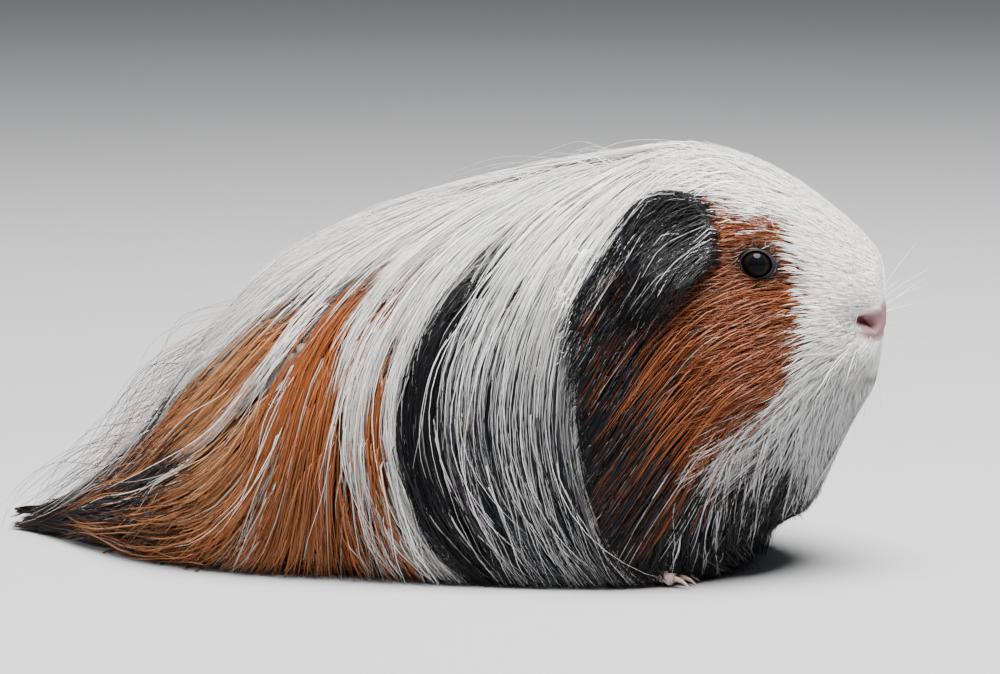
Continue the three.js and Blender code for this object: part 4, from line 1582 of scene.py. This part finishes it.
class PIG_OT_hem(bpy.types.Operator):
    """Fine ends along the lower edge, swept with the coat and settled on the floor."""
    bl_idname = "pig.hem"
    bl_label = "Lower edge"

    def execute(self, context):
        for locks in both_sides(141, context.scene.pig_coat.hem_locks, 7):
            s, _ = locks.root((8.3, 15.0), (76, 103))
            locks.comb(coat_lie, locks.draw(16, 42), 5.0, FINE_STEP)
            label = locks.passing_ring()
            locks.lay(locks.draw(0.1, 0.75), rise=0.2)
            locks.gather(0.16, 6, 0.6)
            locks.wave((0.2, 1.5), (0.5, 1.4))
            locks.to_floor()
            kind = locks.pigment(label)
            dark = (kind == WHITE) & locks.chance(0.55) & (label < 10.1) & (locks.side < 0)
            kind = np.where(dark, BLACK, kind)
            # Hem locks are painted darker, whites by almost half and the rest by a quarter: painted shade
            # along the lower edge by the floor.
            tone = locks.tone(kind, gold=smooth(10.6, 12.4, s) * 0.5) * by_kind(kind, 0.55, 0.75)
            tone = dark_ends(tone, locks.points)
            locks.mesh("hem", locks.draw(0.28, 0.75), (0.7, 0.12), tone, LONG_HAIR, "red_coat", 0.5)
        return {"FINISHED"}


# Groups along the midline: name, seed, count, steps, rings, degrees, reach, shift, width.
MID_LINES = [
    ("back_line", 121, 440, 9, (5.8, 16.2), (0.5, 7), (20, 56), 3.4, 1.0),
    ("chest_line", 161, 130, 6, (1.5, 7.6), (170, 179.6), (7, 19), 2.6, 0.8),
]


class PIG_OT_mid_lines(bpy.types.Operator):
    """Locks that lie along the back line, and tufts down the middle of chin and chest."""
    bl_idname = "pig.mid_lines"
    bl_label = "Back line and chest line"

    def execute(self, context):
        for side in SIDES:
            for word, seed, count, steps, s_range, a_range, reach, shift, thick in MID_LINES:
                locks = Locks(seed, side, count, steps)
                s, a = locks.root(s_range, a_range)
                locks.comb(back_lie, locks.draw(*reach), 2.5, FINE_STEP)
                locks.lay(locks.draw(0.0, 0.22), rise=0.25, root=0.7)
                locks.over_midline(shift, 0.4)
                locks.wave((0.2, 1.4), (0.5, 1.5))
                locks.over_floor()
                rear = np.where(s > 13.2, np.where(locks.chance(0.5), RED, BLACK), WHITE)
                kind = np.where(a < math.pi / 2, rear, locks.pigment())
                width = np.where(locks.chance(0.5), 1.1, 0.45) * locks.draw(0.8, 1.2) * thick
                tone = painted_face_shade(locks.tone(kind, gold=0.6), kind, locks.points, side)
                tone = dark_ends(tone, locks.points)
                locks.mesh(word, width, (0.6, 0.12), tone, LONG_HAIR, "white_coat", 0.5)
        return {"FINISHED"}


class PIG_OT_face_fur(bpy.types.Operator):
    """Short tufts of head and muzzle, longer towards the cheeks and crown."""
    bl_idname = "pig.face_fur"
    bl_label = "Face fur"

    def execute(self, context):
        for locks in both_sides(31, context.scene.pig_coat.face_tufts, 4):
            s, a = locks.root((0.25, 6.9), (0, 176), face_density)
            reach = np.interp(s, [0, 1.2, 3, 5, 6.9], [1.3, 2.4, 4.2, 6.5, 11.0]) * locks.draw(0.75, 1.3)
            locks.comb(face_lie, reach * (1 + 0.6 * smooth(85 * DEGREE, 120 * DEGREE, a)), 7.0, FACE_STEP)
            locks.lay(locks.draw(0.0, 0.5), rise=0.5, root=1.0, lift=0.12)
            locks.points = round_the_eye(locks.points, locks.side)
            locks.over_midline(0.8)
            keep = outside_nose(locks.points) & clear_of_ear(locks.points, locks.side)
            kind = locks.pigment()
            width = np.interp(s, [0, 2, 7], [0.14, 0.2, 0.28]) * locks.draw(0.8, 1.3)
            tone = locks.tone(kind, gold=0.0, vary=0.28, root_dark=0.3)
            tone = painted_face_shade(tone, kind, locks.points, locks.side)
            locks.mesh("face_fur", width, (0.8, 0.15), tone, SHORT_FUR, "white_coat", keep=keep)
        return {"FINISHED"}


class PIG_OT_cheek_locks(bpy.types.Operator):
    """Cheek locks that lengthen towards the ruff behind the jaw and ear."""
    bl_idname = "pig.cheek_locks"
    bl_label = "Cheeks and ruff"

    def execute(self, context):
        for locks in both_sides(41, 1500, 9):
            s, a = locks.root((4.3, 8.6), (40, 104))
            reach = np.interp(s, [4.3, 5.2, 6.0, 7.0, 8.6], [7, 13, 28, 52, 64]) * locks.draw(0.75, 1.2)
            high = (1 - smooth(46 * DEGREE, 64 * DEGREE, a)) * (1 - smooth(6.2, 6.8, s))
            locks.comb(cheek_lie, reach * (1 - 0.7 * high), 4.0, FINE_STEP)
            ruff = first_true(locks.path[..., 0] > locks.draw(8.5, 8.8)[:, None])
            locks.length = np.minimum(locks.length, ruff * FINE_STEP)
            locks.lay(locks.draw(-0.05, 0.35), rise=0.22, lift=0.12)
            locks.gather(0.14, 5, 0.6)
            locks.wave((0.1, 0.9), (0.5, 1.2))
            locks.over_floor()
            locks.points = round_the_eye(locks.points, locks.side)
            keep = clear_of_ear(locks.points, locks.side) & (locks.length > 5)
            kind = locks.pigment()
            width = np.interp(s, [4.3, 7], [0.28, 0.44]) * locks.draw(0.6, 1.3)
            tone = locks.tone(kind, gold=0.05, vary=0.32, root_dark=0.5)
            tone = painted_face_shade(tone, kind, locks.points, locks.side)
            locks.mesh("cheek_locks", width, (0.7, 0.12), tone, LONG_HAIR, "red_coat", keep=keep)
        return {"FINISHED"}


class PIG_OT_beard(bpy.types.Operator):
    """Beard below the jaw and the hair of the chest, down to the floor."""
    bl_idname = "pig.beard"
    bl_label = "Beard and chest"

    def execute(self, context):
        for locks in both_sides(51, 1500, 7):
            s, a = locks.root((1.4, 8.3), (96, 178.5))
            reach = np.interp(s, [1.6, 3, 4.5, 6, 8.3], [5, 9, 18, 30, 24]) * locks.draw(0.7, 1.25)
            locks.comb(beard_lie, reach, 6.0, FINE_STEP)
            locks.lay(locks.draw(0.0, 0.55), rise=0.3, lift=0.2)
            locks.gather(0.2, 8, 0.6)
            locks.wave((0.2, 2.0), (0.5, 1.5))
            locks.over_floor()
            locks.over_midline(2.0)
            tuft = (np.sin(s * 9.0) * np.sin(a * 7.0) > 0.72) & (s > 4)
            kind = np.where(tuft, WHITE, locks.pigment())
            width = np.interp(s, [1.6, 5], [0.3, 0.55]) * locks.draw(0.7, 1.3)
            tone = painted_face_shade(locks.tone(kind), kind, locks.points, locks.side)
            locks.mesh("beard", width, (0.7, 0.12), tone, LONG_HAIR, "black_coat")
        return {"FINISHED"}


class PIG_OT_belly(bpy.types.Operator):
    """Short hair under the belly and inside the hem."""
    bl_idname = "pig.belly"
    bl_label = "Belly"

    def execute(self, context):
        for locks in both_sides(61, 700, 4):
            s, a = locks.root((7.0, 15.0), (112, 178))
            tilt = locks.rng.normal(0, 0.25, (2, locks.count, 1))
            begin = skin_point(s, a, locks.side)
            length, share = locks.draw(7, 13)[:, None], locks.share
            locks.points = np.stack([
                begin[:, :1] + length * share * tilt[0],
                begin[:, 1:2] + length * share * (0.9 + tilt[1] * 0.3),
                np.maximum(begin[:, 2:] - 5.5 * share ** 0.8, 0.5),
            ], -1)
            locks.normals = np.tile(-UP, (locks.count, locks.steps, 1))
            kind = pigment(s, np.minimum(a, 110 * DEGREE), locks.side, locks.rng)
            width = locks.draw(0.5, 1.1)
            # Belly hair is painted a fifth darker: painted shade under the body.
            locks.mesh("belly", width, (0.7, 0.12), locks.tone(kind) * 0.8, SHORT_FUR, "white_coat", 0.5)
        return {"FINISHED"}


class PIG_OT_ear_hair(bpy.types.Operator):
    """Silver hairs that fan from the front root of the ear over its flap, and tufts on its back."""
    bl_idname = "pig.ear_hair"
    bl_label = "Ear hair"

    def execute(self, context):
        for locks in both_sides(71, 720, 8):
            locks.root((6.05, 7.3), (33, 56))
            locks.comb(ear_lie, locks.draw(12, 42), 6.0, FINE_STEP)
            locks.lay(locks.draw(-0.15, 0.1), rise=0.25, root=0.6, lift=0.1)
            locks.points = over_the_ear(locks.points, locks.side, locks.draw(0.3, 2.6)[:, None])
            locks.gather(0.2, 6, 0.4)
            locks.wave((0.2, 1.6), (0.5, 1.5))
            kind = np.where(locks.chance(0.09), WHITE, BLACK)
            tone = locks.tone(kind) * by_kind(kind, 0.7, 0.6)
            width = locks.draw(0.2, 0.4) * np.where(kind == WHITE, 0.6, 1)
            locks.mesh("ear_hair", width, (0.8, 0.15), tone, LONG_HAIR, "black_coat")
        return {"FINISHED"}


class PIG_OT_lashes(bpy.types.Operator):
    """Short dark hairs that fan over the lids, longer and paler above the eye."""
    bl_idname = "pig.lashes"
    bl_label = "Lashes"

    def execute(self, context):
        for locks in both_sides(151, 240, 5):
            centre, axis, along, over = eye_frame(locks.side)
            theta, share = locks.draw(0, 2 * math.pi), locks.share
            top = np.maximum(np.sin(theta), 0)
            near = locks.draw(0.86, 1.12)
            run = locks.draw(1.6, 3.2) + 2.2 * top * locks.draw(0, 1)
            turn = theta + locks.rng.normal(0, 0.35, locks.count)
            u = (5.0 * near * np.cos(theta))[:, None] + (run * np.cos(turn))[:, None] * share
            v = (4.0 * near * np.sin(theta))[:, None] + (run * np.sin(turn))[:, None] * share
            u = u + (0.9 * share ** 2) * np.sign(-along[1])
            height = skin_height(locks.side, u, v) + 0.15
            height = height + (0.5 + 0.5 * top)[:, None] * np.sin(share * math.pi * 0.75)
            height = height + (0.9 * np.exp(-((near - 0.9) / 0.1) ** 2))[:, None] * (1 - share)
            locks.points = centre + u[..., None] * along + v[..., None] * over + height[..., None] * axis
            locks.normals = np.broadcast_to(axis, locks.points.shape)
            pale = locks.chance(0.10 + 0.12 * top)[:, None, None]
            dark = np.where(locks.chance(0.5)[:, None, None], np.array(locks.colours.red) * 0.22, 0.012)
            tone = np.where(pale, 0.42, dark) + np.zeros(locks.points.shape)
            locks.s, locks.a = np.full(locks.count, 4.4), 60 * DEGREE + 0.1 * np.sin(theta)
            locks.mesh("lashes", locks.draw(0.15, 0.26), (0.8, 0.15), tone, SHORT_FUR, "red_coat", 0.7)
        return {"FINISHED"}


# Hairs along each toe, and their warm tint.
TOE_HAIRS = 110
TOE_TINT = np.array([0.95, 0.82, 0.76])


class PIG_OT_paw_fur(bpy.types.Operator):
    """Short fur of the feet, along the toes."""
    bl_idname = "pig.paw_fur"
    bl_label = "Paw fur"

    def execute(self, context):
        for locks in both_sides(81, TOE_HAIRS, 4):
            for paw in PAWS:
                locks.count, runs, faces = TOE_HAIRS, [], []
                for start, end in toe_lines(paw, locks.side):
                    t, turn = locks.draw(-0.25, 0.8)[:, None], locks.draw(-1.9, 1.9)[:, None]
                    ahead = unit(end - start)
                    out = np.sin(turn) * unit(np.cross(ahead, UP)) + np.cos(turn) * UP
                    reach = locks.draw(1.6, 3.2)[:, None]
                    base = start + (end - start) * t + out * paw["radius"] * 0.8
                    runs.append(np.stack([
                        base + ahead * reach * k + out * (0.5 * k) - 0.4 * UP * k * k for k in locks.share[0]
                    ], 1))
                    faces.append(np.repeat(out[:, None], locks.steps, 1))
                locks.points, locks.normals = np.concatenate(runs), np.concatenate(faces)
                locks.over_floor(0.3)
                locks.count = len(locks.points)
                locks.s, locks.a = np.full(locks.count, 9.0), np.full(locks.count, 160 * DEGREE)
                width = locks.draw(0.2, 0.34)
                tone = locks.tone(np.full(locks.count, WHITE)) * TOE_TINT
                locks.mesh(f"{paw['name']}foot_fur", width, (0.8, 0.15), tone, SHORT_FUR, "white_coat")
        return {"FINISHED"}


class PIG_OT_train(bpy.types.Operator):
    """Hair of the rump that runs out behind into a thin train on the floor."""
    bl_idname = "pig.train"
    bl_label = "Train"

    def execute(self, context):
        for locks in both_sides(91, 560, 10):
            locks.root((12.6, 14.6), (0, 118))
            locks.comb(coat_lie, locks.draw(30, 78), 5.0)
            locks.lay(locks.draw(-0.02, 0.6), lift=0.05)
            locks.gather(0.3, 12, 0.6)
            locks.wave((0.5, 4.0), (0.5, 1.6))
            locks.over_floor()
            kind = np.where(locks.chance(0.55), BLACK, locks.pigment())
            width = locks.draw(0.3, 0.65)
            tone = dark_ends(locks.tone(kind), locks.points)
            locks.mesh("train", width, (0.6, 0.1), tone, LONG_HAIR, "black_coat")
        return {"FINISHED"}


class PIG_OT_loose_hairs(bpy.types.Operator):
    """Flyaway hairs over back and flanks, standing a little off the coat."""
    bl_idname = "pig.loose_hairs"
    bl_label = "Loose hairs"

    def execute(self, context):
        for locks in both_sides(101, 240, 11):
            s, a = locks.root((5.5, 14.2), (0, 80))
            locks.comb(coat_lie, locks.draw(25, 75), 8.0)
            locks.lay(np.full(locks.count, 0.02), rise=0.5, root=0.3)
            locks.stand_off((0.3, 2.2), 0.8, 2)
            locks.wave((0.3, 1.6), (0.5, 1.6))
            locks.over_floor()
            kind = locks.pigment()
            width = locks.draw(0.13, 0.24)
            keep = (s > 8.9) | (a < 26 * DEGREE)
            locks.mesh("loose_hairs", width, (0.8, 0.3), locks.tone(kind), LONG_HAIR, "white_coat", 0.8, keep)
        return {"FINISHED"}


# Wisps: name, count, rings, degrees, reach, rise over the coat.
WISPS = [
    ("rump_wisps", 60, (12.6, 14.9), (2, 34), (35, 75), (3.0, 12.0)),
    ("crown_wisps", 16, (6.4, 8.6), (0, 16), (35, 60), (2.5, 5.5)),
]


class PIG_OT_wisps(bpy.types.Operator):
    """Curling wisps over rump and train, and arching hairs over the crown."""
    bl_idname = "pig.wisps"
    bl_label = "Wisps"

    def execute(self, context):
        for locks in both_sides(131, 0, 16):
            for word, locks.count, s_range, a_range, reach, rise in WISPS:
                s, _ = locks.root(s_range, a_range)
                locks.comb(coat_lie, locks.draw(*reach), 16.0)
                locks.lay(np.full(locks.count, 0.05), rise=0.5, root=0.3)
                locks.stand_off(rise, 0.85, 1)
                locks.wave((1.0, 7.0), (0.4, 1.5))
                locks.over_floor(0.5)
                rear = s > 12
                kind = np.where(rear, np.where(locks.chance(0.55), RED, BLACK), WHITE)
                tone = locks.tone(kind, gold=0.8) * np.where(rear, 0.8, 0.7)[:, None, None]
                tone = dark_ends(tone, locks.points)
                locks.mesh(word, locks.draw(0.16, 0.26), (0.8, 0.3), tone, LONG_HAIR, "red_coat", 0.8)
        return {"FINISHED"}


# Whiskers: root s, root angle, then how far the tip lies out, ahead and up from the root.
WHISKERS = [
    (2.0, 78, 13.0, -14.0, 24.0), (2.1, 83, 16.0, -16.0, 17.0), (2.2, 88, 19.0, -13.0, 12.0),
    (2.3, 92, 24.0, -8.0, 7.0), (2.0, 95, 22.0, -14.0, 1.0), (2.3, 99, 26.0, -6.0, -4.0),
    (2.5, 97, 30.0, 2.0, -1.0), (1.9, 89, 18.0, -17.0, 8.0), (2.4, 84, 22.0, -10.0, 16.0),
    (2.8, 96, 30.0, 10.0, 6.0), (1.9, 84, 12.0, -18.0, 12.0), (2.0, 101, 17.0, -14.0, -5.0),
    (2.9, 88, 26.0, 14.0, 12.0), (2.8, 104, 9.0, 6.0, -22.0), (2.5, 112, 5.0, 2.0, -21.0),
    (2.2, 116, 4.0, -2.0, -18.0), (3.1, 108, 8.0, 10.0, -24.0), (2.8, 118, 5.0, 3.0, -20.0),
]
BROW_HAIRS = [
    (4.55, 50, 5.0, 12.0, -3.0), (4.7, 44, 4.0, 11.0, 3.0), (4.9, 42, 7.0, 9.0, 10.0),
    (4.4, 42, 6.0, 3.0, 14.0),
]
# No whisker, tip or bow, passes this place ahead of the nose.
WHISKER_TIP, WHISKER_BOW = -145.5, -146.0


class PIG_OT_whiskers(bpy.types.Operator):
    """Whiskers of the upper lip and a few long hairs over the eye."""
    bl_idname = "pig.whiskers"
    bl_label = "Whiskers"

    def execute(self, context):
        rows = np.array(WHISKERS + BROW_HAIRS)
        for locks in both_sides(111, len(rows), 12):
            side, share = locks.side, locks.share[..., None]
            locks.s, locks.a = rows[:, 0] + 0.2 - 0.2 * side, rows[:, 1] * DEGREE
            root = skin_point(locks.s, locks.a, side)
            tip = rows[:, 2:] * mirror(-side) * locks.draw(0.85, 1.15)[:, None]
            tip[:, 1] += (7 - 7 * side) * smooth(4, -8, tip[:, 1])
            tip[:, 1] = np.maximum(tip[:, 1], WHISKER_TIP - root[:, 1])
            sag = -UP * (np.linalg.norm(tip, axis=1) * locks.draw(0.05, 0.26))[:, None]
            locks.points = root[:, None] + tip[:, None] * share + sag[:, None] * share ** 2
            locks.points[..., 1] = np.maximum(locks.points[..., 1], WHISKER_BOW)
            locks.normals = np.tile(UP, (locks.count, locks.steps, 1))
            width = context.scene.pig_sizes.whisker_width / MM * np.where(rows[:, 4] < -8, 0.5, 0.8)
            tone = np.tile([0.8, 0.78, 0.76], (locks.count, locks.steps, 1))
            locks.mesh("whiskers", width, (1.0, 0.1), tone, LONG_HAIR, "white_coat", 1.0)
        return {"FINISHED"}


class PIG_PT_panel(bpy.types.Panel):
    """Sizes, colours and the pieces of the guinea pig."""
    bl_idname = "PIG_PT_panel"
    bl_label = "Guinea pig"
    bl_space_type = "VIEW_3D"
    bl_region_type = "UI"
    bl_category = "Guinea pig"

    def draw(self, context):
        for word, kind in GROUPS:
            box = self.layout.box()
            for name in kind.__annotations__:
                box.prop(getattr(context.scene, word), name)
        for operator in OPERATORS:
            self.layout.operator(operator.bl_idname)


GROUPS = [
    ("pig_sizes", PigSizes), ("pig_colours", PigColours), ("pig_coat", PigCoat), ("pig_stage", PigStage),
]
# In the order in which main calls them.
OPERATORS = [
    PIG_OT_stage, PIG_OT_skin, PIG_OT_eyes, PIG_OT_claws, PIG_OT_under_coat, PIG_OT_long_coat, PIG_OT_hem,
    PIG_OT_mid_lines, PIG_OT_face_fur, PIG_OT_cheek_locks, PIG_OT_beard, PIG_OT_belly, PIG_OT_ear_hair,
    PIG_OT_paw_fur, PIG_OT_train, PIG_OT_loose_hairs, PIG_OT_wisps, PIG_OT_lashes, PIG_OT_whiskers,
]
CLASSES = [kind for _, kind in GROUPS] + OPERATORS + [PIG_PT_panel]


def register():
    for kind in CLASSES:
        bpy.utils.register_class(kind)
    for name, kind in GROUPS:
        setattr(bpy.types.Scene, name, PointerProperty(type=kind))


def unregister():
    for name, _ in GROUPS:
        delattr(bpy.types.Scene, name)
    for kind in reversed(CLASSES):
        bpy.utils.unregister_class(kind)


def main():
    register()
    for operator in OPERATORS:
        getattr(bpy.ops.pig, operator.bl_idname.split(".")[1])()


if __name__ == "__main__":
    main()
